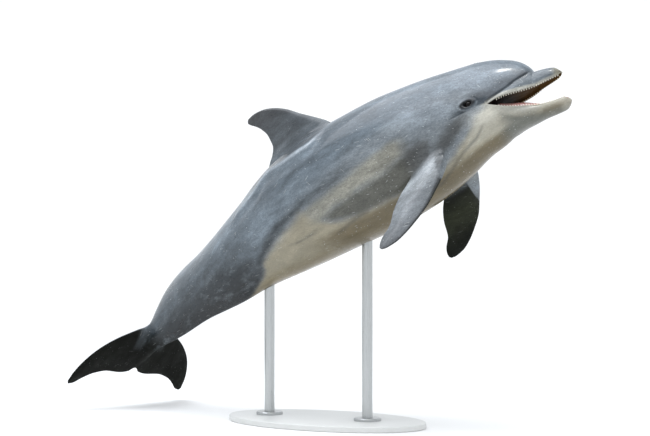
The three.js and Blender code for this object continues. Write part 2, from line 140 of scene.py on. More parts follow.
# The paper lies flat for 13 m round the stand and then curves up as a quarter ellipse, 8 m high.
flat, turn = np.meshgrid(np.linspace(0, 13, 14), np.linspace(0, 2 * np.pi, 97), indexing="ij")
bend, around = np.meshgrid(np.linspace(0, np.pi / 2, 25), np.linspace(0, 2 * np.pi, 97), indexing="ij")
out = np.concatenate([flat, 13 + 8 * np.sin(bend[1:])])
rise = np.concatenate([0 * flat, 8 * (1 - np.cos(bend[1:]))])
turn = np.concatenate([turn, around[1:]])
floor = build_mesh("seamless_paper", [np.stack([out * np.cos(turn), out * np.sin(turn), rise - 0.0005], -1)])
floor.data.flip_normals()

# Far from the stand the paper has a painted glow, as if lit from behind, that rises from 2 m to 11 m out.
paper, shader = new_material("matt_white_paper")
here = add_node(paper, "ShaderNodeTexCoord").outputs["Object"]
far = add_node(paper, "ShaderNodeVectorMath", {"operation": "LENGTH"}, in_0=here).outputs["Value"]
painted_glow = add_node(paper, "ShaderNodeMapRange", in_0=far, in_1=2.0, in_2=11.0, in_3=0.0, in_4=0.24)
join(paper, shader, Base_Color=linear("#eeeeed"), Roughness=0.9, Specular_IOR_Level=0.2)
join(paper, shader, Emission_Color=linear("#ffffff"), Emission_Strength=painted_glow.outputs[0])
floor.data.materials.append(paper)

# Above the paper a pale ceiling brightens from its edges to the middle.
world = bpy.data.worlds.new("studio")
world.use_nodes = True
scene.world = world
scene.view_settings.view_transform = "Standard"
way = add_node(world, "ShaderNodeTexCoord").outputs["Generated"]
height = add_node(world, "ShaderNodeSeparateXYZ", in_0=way).outputs["Z"]
ceiling = add_node(world, "ShaderNodeMapRange", in_0=height, in_1=0.2, in_2=1.0, in_3=0.75, in_4=1.15)
join(world, world.node_tree.nodes["Background"], Color=linear("#f4f8fd"), Strength=ceiling.outputs[0])


def softbox(name, place, target, width, height, power, colour):
    """A rectangular lamp at a place, turned to a target."""
    lamp = bpy.data.lights.new(name, "AREA")
    lamp.shape = "RECTANGLE"
    lamp.size, lamp.size_y = width, height
    lamp.energy = power
    lamp.color = linear(colour)[:3]
    stand = bpy.data.objects.new(name, lamp)
    aim = Vector(target) - Vector(place)
    stand.matrix_world = Matrix.Translation(place) @ aim.to_track_quat("-Z", "Y").to_matrix().to_4x4()
    scene.collection.objects.link(stand)


softbox("overhead", (-0.3, -0.8, 4.6), (0.0, 0, 0.9), 6.0, 3.6, 200, "#f6f9ff")
softbox("spot", (0.92, -0.6, 4.4), (0.8, -0.05, 1.3), 0.16, 0.3, 11, "#fffaf2")

# ------------------------------------------------------------------ spine and bearing
# The body is set out along a bent spine, as a sculptor's armature is. In body coordinates,
# s runs back from the snout tip, l runs to the animal's left and h runs up, all in mm.

LENGTH = 2500.0
MIDDLE = (1.2, -68.7, 925.0)
PITCH = [[0, 18], [0.15, 23], [0.35, 26], [0.55, 32], [0.75, 37], [0.9, 43], [1, 43.5]]
HEADING = [[0, 11], [0.2, 9], [0.5, 0], [0.8, -10], [1, -17]]
BANK = [[0, 12], [0.3, 9], [0.7, 6], [1, 7]]


def curve_through(stations):
    """A monotone cubic curve through [x, y] stations: each span is y0 + dy(3t2 - 2t3) plus the
    slopes' share w t(1-t)(m0(1-t) - m1 t), with the harmonic mean of the chords as its slopes."""
    x, y = np.array(stations, dtype=float).T
    chord = np.diff(y) / np.diff(x)
    same = chord[:-1] * chord[1:] > 0
    mean = np.where(same, 2 * chord[:-1] * chord[1:] / np.where(same, chord[:-1] + chord[1:], 1), 0)
    slope = np.concatenate([chord[:1], mean, chord[-1:]])

    def curve(at):
        inside = np.clip(at, x[0], x[-1])
        i = np.clip(np.searchsorted(x, inside, side="right") - 1, 0, len(x) - 2)
        width = x[i + 1] - x[i]
        t = (inside - x[i]) / width
        bend = width * t * (1 - t) * (slope[i] * (1 - t) - slope[i + 1] * t)
        return y[i] + (y[i + 1] - y[i]) * t * t * (3 - 2 * t) + bend

    return curve


pitch_at, heading_at, bank_at = curve_through(PITCH), curve_through(HEADING), curve_through(BANK)


def bearings(s):
    """The directions forward, left and up of the body at s: pitch and heading turn the forward
    direction, and the bank turns left and up about it."""
    share = np.asarray(s, dtype=float) / LENGTH
    pitch, heading, bank = (np.radians(at(share)) for at in (pitch_at, heading_at, bank_at))
    forward = np.stack([np.cos(pitch) * np.cos(heading), np.cos(pitch) * np.sin(heading), np.sin(pitch)], -1)
    level = np.stack([-np.sin(heading), np.cos(heading), 0 * heading], -1)
    upright = np.cross(forward, level)
    left = level * np.cos(bank)[..., None] - upright * np.sin(bank)[..., None]
    return forward, left, np.cross(forward, left)


SPINE_S = np.arange(-100.0, 2601.0, 5.0)
steps = -5.0 * bearings(SPINE_S[:-1] + 2.5)[0]
spine = np.concatenate([np.zeros((1, 3)), np.cumsum(steps, axis=0)])
spine += np.array(MIDDLE) - spine[np.searchsorted(SPINE_S, LENGTH / 2)]


def spine_at(s):
    return np.stack([np.interp(s, SPINE_S, spine[:, axis]) for axis in range(3)], -1)


def place(s, l, h):
    """Points in metres at body coordinates in mm: spine(s) + l left(s) + h up(s)."""
    s, l, h = np.broadcast_arrays(np.asarray(s, float), l, h)
    _, left, up = bearings(s)
    return (spine_at(s) + left * l[..., None] + up * h[..., None]) / 1000


def body_coordinates(points):
    """The s, l and h of points in metres: s is moved until the point lies square to the spine."""
    points = points * 1000
    s = (spine_at(0) - points) @ bearings(LENGTH / 2)[0]
    for _ in range(14):
        s = np.clip(s - np.einsum("ij,ij->i", points - spine_at(s), bearings(s)[0]), -95, 2595)
    off = points - spine_at(s)
    _, left, up = bearings(s)
    return s, np.einsum("ij,ij->i", off, left), np.einsum("ij,ij->i", off, up)


def ease(x, start, end):
    """0 before start, 1 after end, and 3t2 - 2t3 between them."""
    t = np.clip((x - start) / (end - start), 0, 1)
    return t * t * (3 - 2 * t)


def bell(off, width=1.0):
    """exp(-(off / width)2)."""
    return np.exp(-((off / width) ** 2))


def column(table, k):
    """Pairs of the first and the k-th value of each row of a table."""
    return [[row[0], row[k]] for row in table]


# ------------------------------------------------------------------ skin of the body and head
# Silicone over a resin cast, in one seamless skin from the jaws to the flukes, as the real
# animal's is. It was moulded in one piece with the lining of the mouth.

BODY = [  # s, top, bottom, half width, level of the widest point, keel
    [94, 52, -20, 28, 18, 1],
    [100, 69, -60, 40, 16, 1],
    [109, 87, -100, 50, 13, 1],
    [135, 118, -126, 63, 8, 1],
    [166, 141, -138, 75, 4, 1],
    [200, 158, -146, 88, 0, 1],
    [230, 171, -152, 100, -3, 1],
    [270, 183, -163, 114, -6, 1],
    [320, 192, -180, 130, -9, 1],
    [365, 198, -190, 142, -10, 1],
    [420, 205, -209, 153, -12, 1],
    [500, 217, -240, 168, -14, 1],
    [620, 230, -272, 188, -15, 1],
    [760, 241, -289, 207, -15, 1],
    [900, 242, -296, 216, -15, 1],
    [1050, 246, -287, 215, -14, 1],
    [1250, 234, -268, 200, -12, 1.05],
    [1360, 214, -252, 186, -10, 1.1],
    [1480, 181, -230, 168, -8, 1.2],
    [1600, 163, -208, 145, -6, 1.3],
    [1720, 149, -193, 121, -3, 1.4],
    [1840, 146, -165, 96, 0, 1.5],
    [1960, 156, -132, 76, 14, 1.6],
    [2080, 157, -108, 57, 28, 1.6],
    [2140, 146, -93, 51, 34, 1.6],
    [2200, 128, -70, 47, 36, 1.5],
    [2300, 88, -28, 44, 36, 1.4],
    [2400, 62, 5, 36, 34, 1.2],
    [2480, 42, 22, 20, 31, 1],
]
BEAK = [  # s, top, half width
    [-10, 24, 8],
    [0, 36, 18],
    [15, 47, 28],
    [40, 54, 35],
    [75, 58, 42],
    [110, 59, 50],
    [150, 50, 67],
    [180, 34, 79],
    [210, 16, 90],
    [250, 2, 101],
    [300, -12, 111],
]
JAW = [  # s, bottom, half width
    [-16, -112, 8],
    [-8, -130, 19],
    [15, -139, 28],
    [55, -142, 36],
    [100, -143, 44],
    [150, -148, 58],
    [205, -152, 77],
    [250, -161, 92],
    [300, -177, 106],
    [330, -183, 108],
]
UPPER_LIP = [[-10, 14], [25, 6], [70, -2], [110, -9], [155, -13], [210, -13], [255, -17], [300, -30]]
LOWER_LIP = [[-16, -88], [55, -94], [100, -92], [165, -80], [220, -66], [260, -50], [300, -31]]
GAPE = 300.0  # the corner of the mouth
CORNER = -30.5  # how high the corner lies
MELON = 94.0  # where the melon starts, behind the beak's tip
THROAT = 334.0  # where the mouth's hollow ends
BLOWHOLE = 338.0  # where the middle of the blowhole lies


def even_curve(stations, spread):
    """curve_through, averaged over a window of +- spread behind the face, so that the wet
    surface reflects without bands. Each end runs on straight."""
    curve = curve_through(stations)
    first, last = stations[0][0], stations[-1][0]
    fine = np.arange(first - 2 * spread, last + 2 * spread + 1, 2.0)
    slope_in = curve(first + 1.0) - curve(first)
    slope_out = curve(last) - curve(last - 1.0)
    rough = curve(fine) + slope_in * np.minimum(fine - first, 0) + slope_out * np.maximum(fine - last, 0)
    window = np.hanning(int(spread) + 1)
    soft = np.convolve(np.pad(rough, len(window) // 2, mode="edge"), window / window.sum(), mode="valid")

    def blended(s):
        share = ease(s, 150, 260)
        return curve(s) * (1 - share) + np.interp(s, fine, soft[: len(fine)]) * share

    return blended


body_top, body_bottom, body_width, body_level, body_keel = (even_curve(column(BODY, k), 60) for k in range(1, 6))
beak_top, beak_width = (curve_through(column(BEAK, k)) for k in (1, 2))
jaw_bottom, jaw_width = (curve_through(column(JAW, k)) for k in (1, 2))
upper_lip, lower_lip = curve_through(UPPER_LIP), curve_through(LOWER_LIP)


def half_section(h, top, bottom, level, width, above, below):
    """How far a section reaches to the side at height h: width (1 - rise2)^(power / 2)."""
    upper = h > level
    reach = np.where(upper, top - level, level - bottom)
    rise = np.clip(np.abs(h - level) / reach, 0, 1)
    return width * (1 - rise**2) ** (np.where(upper, above, below) / 2)


def belly_line(s):
    """The body's lower edge, which runs on from the jaw's at the corner of the mouth."""
    body, jaw = body_bottom(s), jaw_bottom(s)
    behind = body + (jaw_bottom(GAPE) - body_bottom(GAPE)) * (1 - ease(s, GAPE, 400))
    return np.where(s < GAPE, body + (jaw - body) * ease(s, 200, GAPE), behind)


def reach_aside(s, h, jaw):
    """How far the skin reaches to the side at s and h: the melon and trunk joined with the beak
    or the jaw as (a^20 + b^20)^(1/20), which leaves a soft crease where they meet."""
    keel = body_keel(s)
    trunk = half_section(h, body_top(s), belly_line(s), body_level(s), body_width(s), keel, keel)
    trunk = np.where(s < MELON, 0, trunk)
    if jaw:
        top, bottom = lower_lip(s) + 8, jaw_bottom(s)
        level = top - 0.38 * (top - bottom)
        snout = half_section(h, top, bottom, level, jaw_width(s), 0.5, 1)
    else:
        top, bottom = beak_top(s), upper_lip(s) - 8
        level = bottom + 0.38 * (top - bottom)
        snout = half_section(h, top, bottom, level, beak_width(s), 1, 0.5)
    snout = snout * (1 - 0.4 * ease(s, 230, GAPE)) * (s < GAPE)
    scale = np.maximum(np.maximum(trunk, snout), 1e-6)
    return scale * ((trunk / scale) ** 20 + (snout / scale) ** 20) ** 0.05


centre_of_head = curve_through([[-10, 18], [0, 18], [75, 16], [120, 13], [200, 0], [320, -9]])


def centre_at(s):
    """The level at which the skin of the back turns under: the head's own centre, which blends
    into the body's widest level behind the corner of the mouth."""
    step = centre_of_head(GAPE) - body_level(GAPE)
    return np.where(s < GAPE, centre_of_head(s), body_level(s) + step * (1 - ease(s, GAPE, 340)))


def below_centre(s):
    """The line that the lips run on as, 0.135 of the way from the centre to the belly."""
    return centre_at(s) - 0.135 * (centre_at(s) - belly_line(s))


def lip_line(s, jaw):
    """The upper or lower lip. Behind the corner of the mouth both run on as one line."""
    lip = lower_lip(s) if jaw else upper_lip(s)
    behind = below_centre(s) + (CORNER - below_centre(GAPE)) * (1 - ease(s, GAPE, 360))
    opening = np.where(s > GAPE - 8, ease(-s, -GAPE, -GAPE + 8), 1)
    return np.where(s < GAPE, CORNER + (lip - CORNER) * opening, behind)


UPPER_COLUMNS, WALL_COLUMNS, LOWER_COLUMNS = 56, 8, 42


def upper_skin(s):
    """Half of the skin over the back, from the midline down to the lip, as l and h. Above the
    widest point h = centre + (top - centre) sin a, and below it h falls evenly to the lip."""
    s = s[:, None]
    centre, lip = centre_at(s), lip_line(s, False)
    top = np.where(s < MELON, beak_top(s), np.maximum(beak_top(s), body_top(s)))
    top = np.where(s > 200, body_top(s), top)
    a = np.pi / 2 * np.linspace(1, 0, UPPER_COLUMNS)[None] ** 1.5
    above = centre + (top - centre) * np.sin(a)
    below = centre + (lip - centre) * np.linspace(0, 1, WALL_COLUMNS + 1)[None, 1:]
    h = np.concatenate([above, below], axis=1)
    l = reach_aside(s + 0 * h, h, False)
    l[:, 0] = 0
    return l, h


def lower_skin(s):
    """Half of the skin below the lip, from the lip down to the midline, as l and h, by angle
    about a centre that is the lower lip's at the chin and the body's at the corner."""
    s = s[:, None]
    lip, bottom = lip_line(s, True), np.where(s < GAPE, jaw_bottom(s), belly_line(s))
    centre = lip + 3 + (centre_at(s) - lip - 3) * ease(s, 150, GAPE)
    first = np.arcsin((centre - lip) / (centre - bottom))
    a = first + (np.pi / 2 - first) * np.linspace(0, 1, LOWER_COLUMNS)[None]
    h = centre - (centre - bottom) * np.sin(a)
    h[:, -1:] = bottom
    l = reach_aside(s + 0 * h, h, True)
    l[:, -1] = 0
    return l, h


def round_tip(s, l, h, tip, reach, middle):
    """Closes a jaw's tip as a quarter ellipse: l and h shrink to the middle by sqrt(1 - t2)."""
    t = np.clip(1 - (s - tip) / reach, 0, 1)[:, None]
    shrink = np.sqrt(1 - t**2)
    return l * shrink, middle + (h - middle) * shrink


def tip_rows(tip, reach):
    """Rows from a jaw's tip, close together where the surface turns."""
    return tip + reach * (1 - np.cos(np.linspace(0, np.pi / 2, 12)))


face_steps = np.arange(19, 87, 4.0), np.arange(87, 122, 1.5), np.arange(122, GAPE, 3.0)
face_rows = np.concatenate([*face_steps, [GAPE]])
upper_rows = np.concatenate([tip_rows(-10, 25), face_rows])
lower_rows = np.concatenate([tip_rows(-16, 33), face_rows])
body_rows = np.concatenate([np.arange(302.5, 425, 2.5), np.linspace(426, 2480, 160)])
LIDS = {"s": 367.0, "h": -4.0, "long": 26.0, "tall": 17.0}
CREASE = [[93, 58], [113, 52], [134, 43], [168, 31], [212, 10], [253, -4], [285, -16], [300, -26]]
RIDGE = [[940, 58], [997, 46], [1057, 40], [1165, 41], [1278, 47], [1349, 37], [1500, 29]]
DARK_GROOVE = [[900, 48], [1000, 34], [1080, 27], [1165, 28], [1278, 33], [1349, 24], [1500, 17]]
FOLDS = [  # a line of latitude at each s, depth in mm, width in degrees, first and last s
    ([[330, -30], [395, -45], [468, -50], [532, -58], [600, -66]], -4.0, 3.0, 320, 640),
    ([[400, -16], [458, -24], [517, -31], [566, -38]], -3.0, 5.0, 390, 600),
    ([[890, -48], [1000, -52], [1090, -57]], -2.5, 2.0, 880, 1110),
    ([[1140, -42], [1234, -45], [1320, -42]], -2.0, 1.3, 1130, 1330),
    (RIDGE, 5.0, 4.5, 930, 1520),
    (DARK_GROOVE, -5.0, 6.0, 940, 1520),
    ([[900, -4], [990, -10], [1163, -14], [1337, -23], [1480, -40]], -4.0, 6.0, 880, 1500),
    ([[1600, -10], [1900, -8], [2250, -6]], -3.5, 9.0, 1560, 2330),
]


def rise_of(s, h, bottom):
    """How high a point lies in its section: 0 at the widest level, 1 at the top of the back and
    -1 at the given lower edge."""
    over = h - body_level(s)
    return over / np.where(over > 0, body_top(s) - body_level(s), body_level(s) - bottom(s))


def latitude_of(s, l, h, bottom):
    """The angle of (side / width, rise), from -90 at the belly through 0 at the widest level to
    90 on the back."""
    return np.degrees(np.arctan2(rise_of(s, h, bottom), np.abs(l) / body_width(s)))


def relief(s, l, h):
    """How far the skin stands out from its plain shape, in mm. Above its crease the melon swells
    by exp(-d / 22), and below it the lip is drawn in by exp(-d / 9). The lids ring the eye, each
    fold is depth exp(-(degrees off its line / width)2), and the slit and blowhole are cut in."""
    above = h - curve_through(CREASE)(s)
    along = ease(s, 104, 130) * (1 - ease(s, 285, 310)) * (h < 110)
    melon = 2.5 * np.exp(-np.maximum(above, 0) / 22) * ease(above, -1, 4)
    lip = -3.5 * np.exp(np.minimum(above, 0) / 9) * ease(-above, -1, 3)
    out = along * (melon + lip - 2.5 * bell(above, 3.0))
    behind, over = s - LIDS["s"], h - LIDS["h"]
    r = np.hypot(behind / LIDS["long"], (over - 0.004 * behind**2 * (over < 0)) / LIDS["tall"])
    out += 1.6 * bell(r - 0.98, 0.24) - 11.0 * (1 - ease(r, 0.48, 0.74))
    out += 3.0 * bell(r, 2.2) - 0.8 * bell(r - 1.55, 0.2)
    latitude = latitude_of(s, l, h, belly_line)
    for path, depth, width, first, last in FOLDS:
        ends = ease(s, first, first + 60) * (1 - ease(s, last - 60, last))
        out += depth * bell(latitude - curve_through(path)(s), width) * ends
    out -= 5.0 * bell(l, 5.0) * ease(s, 1440, 1480) * (1 - ease(s, 1570, 1610)) * (h < 0)
    hole = np.hypot((s - BLOWHOLE + 0.035 * l**2) / 2.6, l / 17)
    out += np.where(h > 100, -6.0 * bell(hole) + 1.5 * bell(hole - 2.2, 1.1), 0)
    return out


def raised(s, l, h):
    """Adds the relief along the section's outward direction, (l / width2, rise / reach2)."""
    s = s + 0 * l
    top, bottom = body_top(s) - body_level(s), body_level(s) - belly_line(s)
    over = h - body_level(s)
    across, up = l / body_width(s) ** 2, over / np.where(over > 0, top, bottom) ** 2
    size = np.maximum(np.hypot(across, up), 1e-9)
    out = relief(s, l, h)
    return l + out * across / size, h + out * up / size


def whole_width(l, h):
    """Both sides of a half skin, from the animal's left to its right."""
    return np.concatenate([l[:, ::-1], -l[:, 1:]], axis=1), np.concatenate([h[:, ::-1], h[:, 1:]], axis=1)


def skin_sheets():
    """The skin's back and underside, and the mouth's roof and floor, as sheets of points."""
    rows = np.concatenate([upper_rows, body_rows])
    l, h = upper_skin(rows)
    l, h = raised(rows[:, None], l, h)
    l, h = round_tip(rows, l, h, -10, 25, 20)
    upper = l[:, -1], h[:, -1]
    back = place(rows[:, None], *whole_width(l, h))

    rows = np.concatenate([lower_rows, body_rows])
    l, h = lower_skin(rows)
    l, h = raised(rows[:, None], l, h)
    l, h = round_tip(rows, l, h, -16, 36, -110)
    lower = l[:, 0], h[:, 0]
    l, h = l[:, ::-1], h[:, ::-1]
    under = place(rows[:, None], *whole_width(l, h))
    return back, under, upper, lower


def mouth_sheet(rows, lip_l, lip_h, way, depth):
    """The roof or floor of the mouth: from each lip a rounded gum, then a hollow of the given
    depth; behind the corner its width and depth close as sqrt(1 - t2)."""
    inner_rows = GAPE + (THROAT - GAPE) * np.sin(np.linspace(0, np.pi / 2, 9)[1:])
    close = np.sqrt(np.clip(1 - ((inner_rows - GAPE) / (THROAT - GAPE)) ** 2, 0, 1))
    s = np.concatenate([rows, inner_rows])[:, None]
    width = np.concatenate([lip_l, lip_l[-1] * close])[:, None]
    level = np.concatenate([lip_h, np.full(len(inner_rows), lip_h[-1])])[:, None]
    across = np.sin(np.linspace(-np.pi / 2, np.pi / 2, 45))[None]
    inside = width * (1 - np.abs(across))
    hollow = depth * ease(inside, 6, 22)
    gum = 2.4 * bell(inside - 4, 3.5) * np.sqrt(np.clip(inside / 1.5, 0, 1))
    closing = np.concatenate([np.ones(len(rows)), close])[:, None]
    l = -width * across
    h = level + way * (hollow - gum) * closing
    return place(s, l, h)


back, under, upper, lower = skin_sheets()
roof = mouth_sheet(upper_rows, *(part[: len(upper_rows)] for part in upper), 1, 12)
bed = mouth_sheet(lower_rows, *(part[: len(lower_rows)] for part in lower), -1, 10)
# The stock's end is drawn to one point, inside the flukes.
back, under = (
    np.concatenate([sheet, place(np.full((1, sheet.shape[1]), 2484.0), 0, 31)]) for sheet in (back, under)
)
skin = build_mesh("skin", [back, under, roof, bed])

# ------------------------------------------------------------------ fins
# The dorsal fin, flukes and flippers are cast with the body, on steel plates inside. Each is a
# thin rounded foil that flares where it grows out of the body.

DORSAL = [  # share of the span, leading edge s and h, trailing edge s and h, thickness
    [0, 925, 205, 1385, 185, 66],
    [0.15, 988, 272, 1330, 250, 46],
    [0.3, 1038, 321, 1287, 283, 36],
    [0.45, 1093, 374, 1266, 325, 29],
    [0.6, 1143, 428, 1268, 372, 23],
    [0.75, 1199, 471, 1284, 417, 18],
    [0.87, 1250, 494, 1304, 447, 13],
    [0.95, 1292, 501, 1322, 467, 9],
    [1, 1319, 498, 1330, 479, 6],
]
FLUKE = [  # the same, out from the middle and back from the notch
    [0, 0, -262, 0, 2, 48],
    [0.12, 46, -241, 26, 36, 42],
    [0.3, 112, -201, 75, 47, 32],
    [0.5, 190, -142, 140, 43, 24],
    [0.7, 252, -70, 205, 62, 18],
    [0.85, 290, 4, 252, 96, 13],
    [0.95, 310, 72, 286, 128, 9],
    [1, 314, 112, 306, 134, 6],
]
FLIPPER = [  # the same, down from the shoulder and forward
    [0, -35, 110, -120, -5, 52],
    [0.15, 60, 52, -40, -60, 46],
    [0.3, 111, 12, 8, -97, 40],
    [0.45, 160, -29, 52, -137, 32],
    [0.62, 205, -85, 105, -172, 25],
    [0.78, 243, -143, 172, -203, 18],
    [0.9, 265, -195, 213, -243, 12],
    [0.97, 270, -235, 240, -258, 8],
    [1, 266, -250, 255, -261, 5],
]
SHOULDER = {"left": (590, 172, -197, 47, 8), "right": (610, -172, -205, 65, 0)}  # s, l, h, droop, swing


def foil(chord):
    """Half thickness of a rounded foil, as a share of its thickness, at a share of the chord."""
    rounded = 0.2969 * np.sqrt(chord)
    return 5 * (rounded + chord * (-0.126 + chord * (-0.3516 + chord * (0.2843 - 0.1036 * chord))))


def fin_sheet(table, ways=(1,), spans=44, around=60):
    """A fin as a sheet of x, y and z in its own plane: a foil section at each share of the span,
    with a rounded rear edge, and a tip that closes as a quarter ellipse."""
    shares = np.concatenate([np.linspace(0, 1, spans), np.ones(7)])[:, None]
    cap = np.concatenate([np.zeros(spans), np.linspace(0, np.pi / 2, 8)[1:]])[:, None]
    lead_x, lead_y, trail_x, trail_y, thick = (curve_through(column(table, k))(shares) for k in range(1, 6))
    turn = np.linspace(0, 2 * np.pi, around + 1)[None]
    chord = (1 - np.cos(turn)) / 2
    half = thick * foil(chord) + 1.5 * np.abs(np.sin(turn)) ** 0.8
    along = 0.5 + (chord - 0.5) * np.cos(cap)
    x = lead_x + (trail_x - lead_x) * along
    y = lead_y + (trail_y - lead_y) * along
    out = np.hypot(trail_x - lead_x, trail_y - lead_y)
    x = x + 3.5 * np.sin(cap) * (trail_y - lead_y) / out * np.sign(trail_y - lead_y)
    z = np.sign(np.sin(turn)) * half * np.cos(cap)
    x[:, -1], y[:, -1], z[:, -1], z[:, 0] = x[:, 0], y[:, 0], 0, 0
    return x, y, z


def closed(x, y, z):
    """The sheet with its root gathered to one point, as its tip is."""
    return [np.concatenate([part[:1] * 0 + part[:1].mean(), part]) for part in (x, y, z)]


def aligned(x, y, z, s, l, h, turn=0.0, fall=0.0):
    """Points whose x, y and z lie along forward, left and up at a body point, after a turn about
    up and a fall about left, in degrees."""
    turn, fall = np.radians(turn), np.radians(fall)
    x, z = x * np.cos(fall) + z * np.sin(fall), z * np.cos(fall) - x * np.sin(fall)
    x, y = x * np.cos(turn) - y * np.sin(turn), x * np.sin(turn) + y * np.cos(turn)
    forward, left, up = bearings(s)
    offset = forward * x[..., None] + left * y[..., None] + up * z[..., None]
    return place(s, l, h) + offset / 1000


x, y, z = closed(*fin_sheet(DORSAL))
dorsal = build_mesh("dorsal_fin_form", [place(x, z, y)])

x, y, z = fin_sheet(FLUKE)
x, y, z = (np.concatenate([way * part[::-1], part[1:]]) for part, way in ((x, -1), (y, 1), (z, 1)))
flukes = build_mesh("flukes_form", [aligned(-y, x, z, LENGTH, 0, 31, turn=2, fall=-8)])


def flipper(name, side, s, l, h, droop, swing):
    """One flipper: its plane swings forward and then droops from the shoulder."""
    x, y, z = closed(*fin_sheet(FLIPPER))
    swing, droop = np.radians(swing), np.radians(droop)
    x, y = x * np.cos(swing) - y * np.sin(swing), y * np.cos(swing) + x * np.sin(swing)
    across = x * np.cos(droop) + z * np.sin(droop)
    rise = z * np.cos(droop) - x * np.sin(droop)
    return build_mesh(name, [aligned(y, side * across, rise, s, l, h)])


fins = [
    dorsal,
    flukes,
    flipper("flipper_left_form", 1, *SHOULDER["left"]),
    flipper("flipper_right_form", -1, *SHOULDER["right"]),
]
for fin in fins:
    joining = skin.modifiers.new(fin.name, "BOOLEAN")
    joining.operation = "UNION"
    joining.object = fin
    joining.solver = "MANIFOLD"
whole = bpy.data.meshes.new_from_object(skin.evaluated_get(bpy.context.evaluated_depsgraph_get()))
skin.modifiers.clear()
skin.data = whole
for fin in fins:
    bpy.data.objects.remove(fin)


def soften_joins(mesh, reach, rounds):
    """Rounds the corners where the fins meet the body. Slivers under 0.9 mm go first. Corners
    sharper than 24 degrees behind the head are found, and each point within reach of one moves
    to the mean of its neighbours, by a share that falls off as (1 - d2)2."""
    sliver, head_x, corner_angle = 9e-4, 0.85, 0.42
    shell = bmesh.new()
    shell.from_mesh(mesh)
    seam = [vert for face in shell.faces if len(face.verts) != 4 for vert in face.verts if vert.co.x < head_x]
    short = {edge for vert in seam for edge in vert.link_edges if edge.calc_length() < sliver}
    bmesh.ops.dissolve_degenerate(shell, edges=list(short), dist=sliver)
    bmesh.ops.triangulate(shell, faces=[face for face in shell.faces if len(face.verts) > 4])
    bmesh.ops.delete(shell, geom=[edge for edge in shell.edges if not edge.link_faces], context="EDGES")
    bmesh.ops.delete(shell, geom=[vert for vert in shell.verts if not vert.link_edges], context="VERTS")
    shell.to_mesh(mesh)
    sharp = [edge for edge in shell.edges if edge.is_manifold and edge.calc_face_angle() > corner_angle]
    corners = np.array([edge.verts[0].co[:] for edge in sharp])
    shell.free()
    points = points_of(mesh)
    count = len(points)
    s, l, h = body_coordinates(corners)
    near_body = np.abs(np.hypot(l / body_width(s), rise_of(s, h, body_bottom)) - 1) < 0.12
    near_tail = (s > 2180) & (s < 2500) & (np.abs(l) < 60)
    corners = corners[(s > 430) & (near_body | near_tail)]
    nearest = np.full(count, 9.0)
    for start in range(0, count, 4000):
        chunk = points[start : start + 4000]
        gap = (chunk**2).sum(1)[:, None] + (corners**2).sum(1)[None] - 2 * chunk @ corners.T
        nearest[start : start + 4000] = np.sqrt(np.maximum(gap.min(1), 0))
    share = np.clip(1 - (nearest / reach) ** 2, 0, 1) ** 2
    ends = np.empty(len(mesh.edges) * 2, dtype=np.int64)
    mesh.edges.foreach_get("vertices", ends)
    a, b = ends.reshape(-1, 2).T
    busy = (share[a] > 0) | (share[b] > 0)
    a, b = np.concatenate([a[busy], b[busy]]), np.concatenate([b[busy], a[busy]])
    degree = np.maximum(np.bincount(a, minlength=count), 1)
    for _ in range(rounds):
        mean = np.stack([np.bincount(a, points[b, axis], count) / degree for axis in range(3)], -1)
        points += 0.8 * share[:, None] * (mean - points)
    mesh.vertices.foreach_set("co", points.ravel())
    mesh.update()


soften_joins(skin.data, 0.045, 24)
skin.data.polygons.foreach_set("use_smooth", np.ones(len(skin.data.polygons), dtype=bool))

# ------------------------------------------------------------------ paint of the skin
# Thin coats of paint sprayed over the silicone, dark on the back, grey on the flanks and cream
# below, then a clear wet coat. The coats' edges are drawn here as shares, point by point.

# Some coats are painted light: shade on the back before the fin, under the belly, jaw, stock and fins, and in
# the crease, folds, eye socket and throat; highlights along the crest and at the flippers' roots; a sheen on the
# flippers' inner faces.
points = points_of(skin.data)
normals = np.empty(points.size)
skin.data.vertex_normals.foreach_get("vector", normals)
normals = normals.reshape(-1, 3)
s, l, h = body_coordinates(points)
forward, left, up = bearings(s)
outward = np.einsum("ij,ij->i", normals, left * np.sign(l)[:, None] + up)
rise, across = rise_of(s, h, body_bottom), np.abs(l) / body_width(s)
latitude = latitude_of(s, l, h, body_bottom)
excess = np.hypot(across, rise) - 1  # how far outside the body's own section, as on the fins
out_mm = excess * body_width(s)


def line_at(*stations):
    """A line round the body: its latitude at each s, from -90 at the belly to 90 on the back."""
    return curve_through(stations)(s)


def within(value, low, high, blur):
    """1 between two edges that are each blurred over a distance."""
    return ease(value, low - blur, low + blur) * (1 - ease(value, high - blur, high + blur))


# The fins, from the body's own section outward. The flippers' inner faces, the flukes and the
# stock's underside by them are painted near black as shade over their own dark grey, which the
# flukes keep where they face up.
FLIPPERS_END, FLUKES_START = 900, 2100
fin = np.where(s > 560, ease(excess * np.minimum(body_width(s), 150), 3, 45), 0)
fin = np.maximum(fin, ease(s, 2280, 2400))
trunk = 1 - fin
on_flipper, on_fluke = fin * (s < FLIPPERS_END), fin * (s > FLUKES_START)
tail = ease(s, 2200, 2330) * (1 - ease(rise, -0.4, 0.6))
# The flippers' inner faces, more of the far one's, which are painted dark as shade.
under = ease(-outward, -0.1 - 0.6 * (l > 0), 0.25 - 0.45 * (l > 0)) * (s < FLIPPERS_END)
ahead = ease(np.einsum("ij,ij->i", normals, forward), -0.1, 0.2)
# The flippers' forward-facing edge is darkened as painted shade.
flipper_edge_shade = on_flipper * (1 - ease(np.abs(outward), 0.4, 1.0)) * ahead
fluke_top = on_fluke * ease(normals[:, 2], 0.55, 0.85)

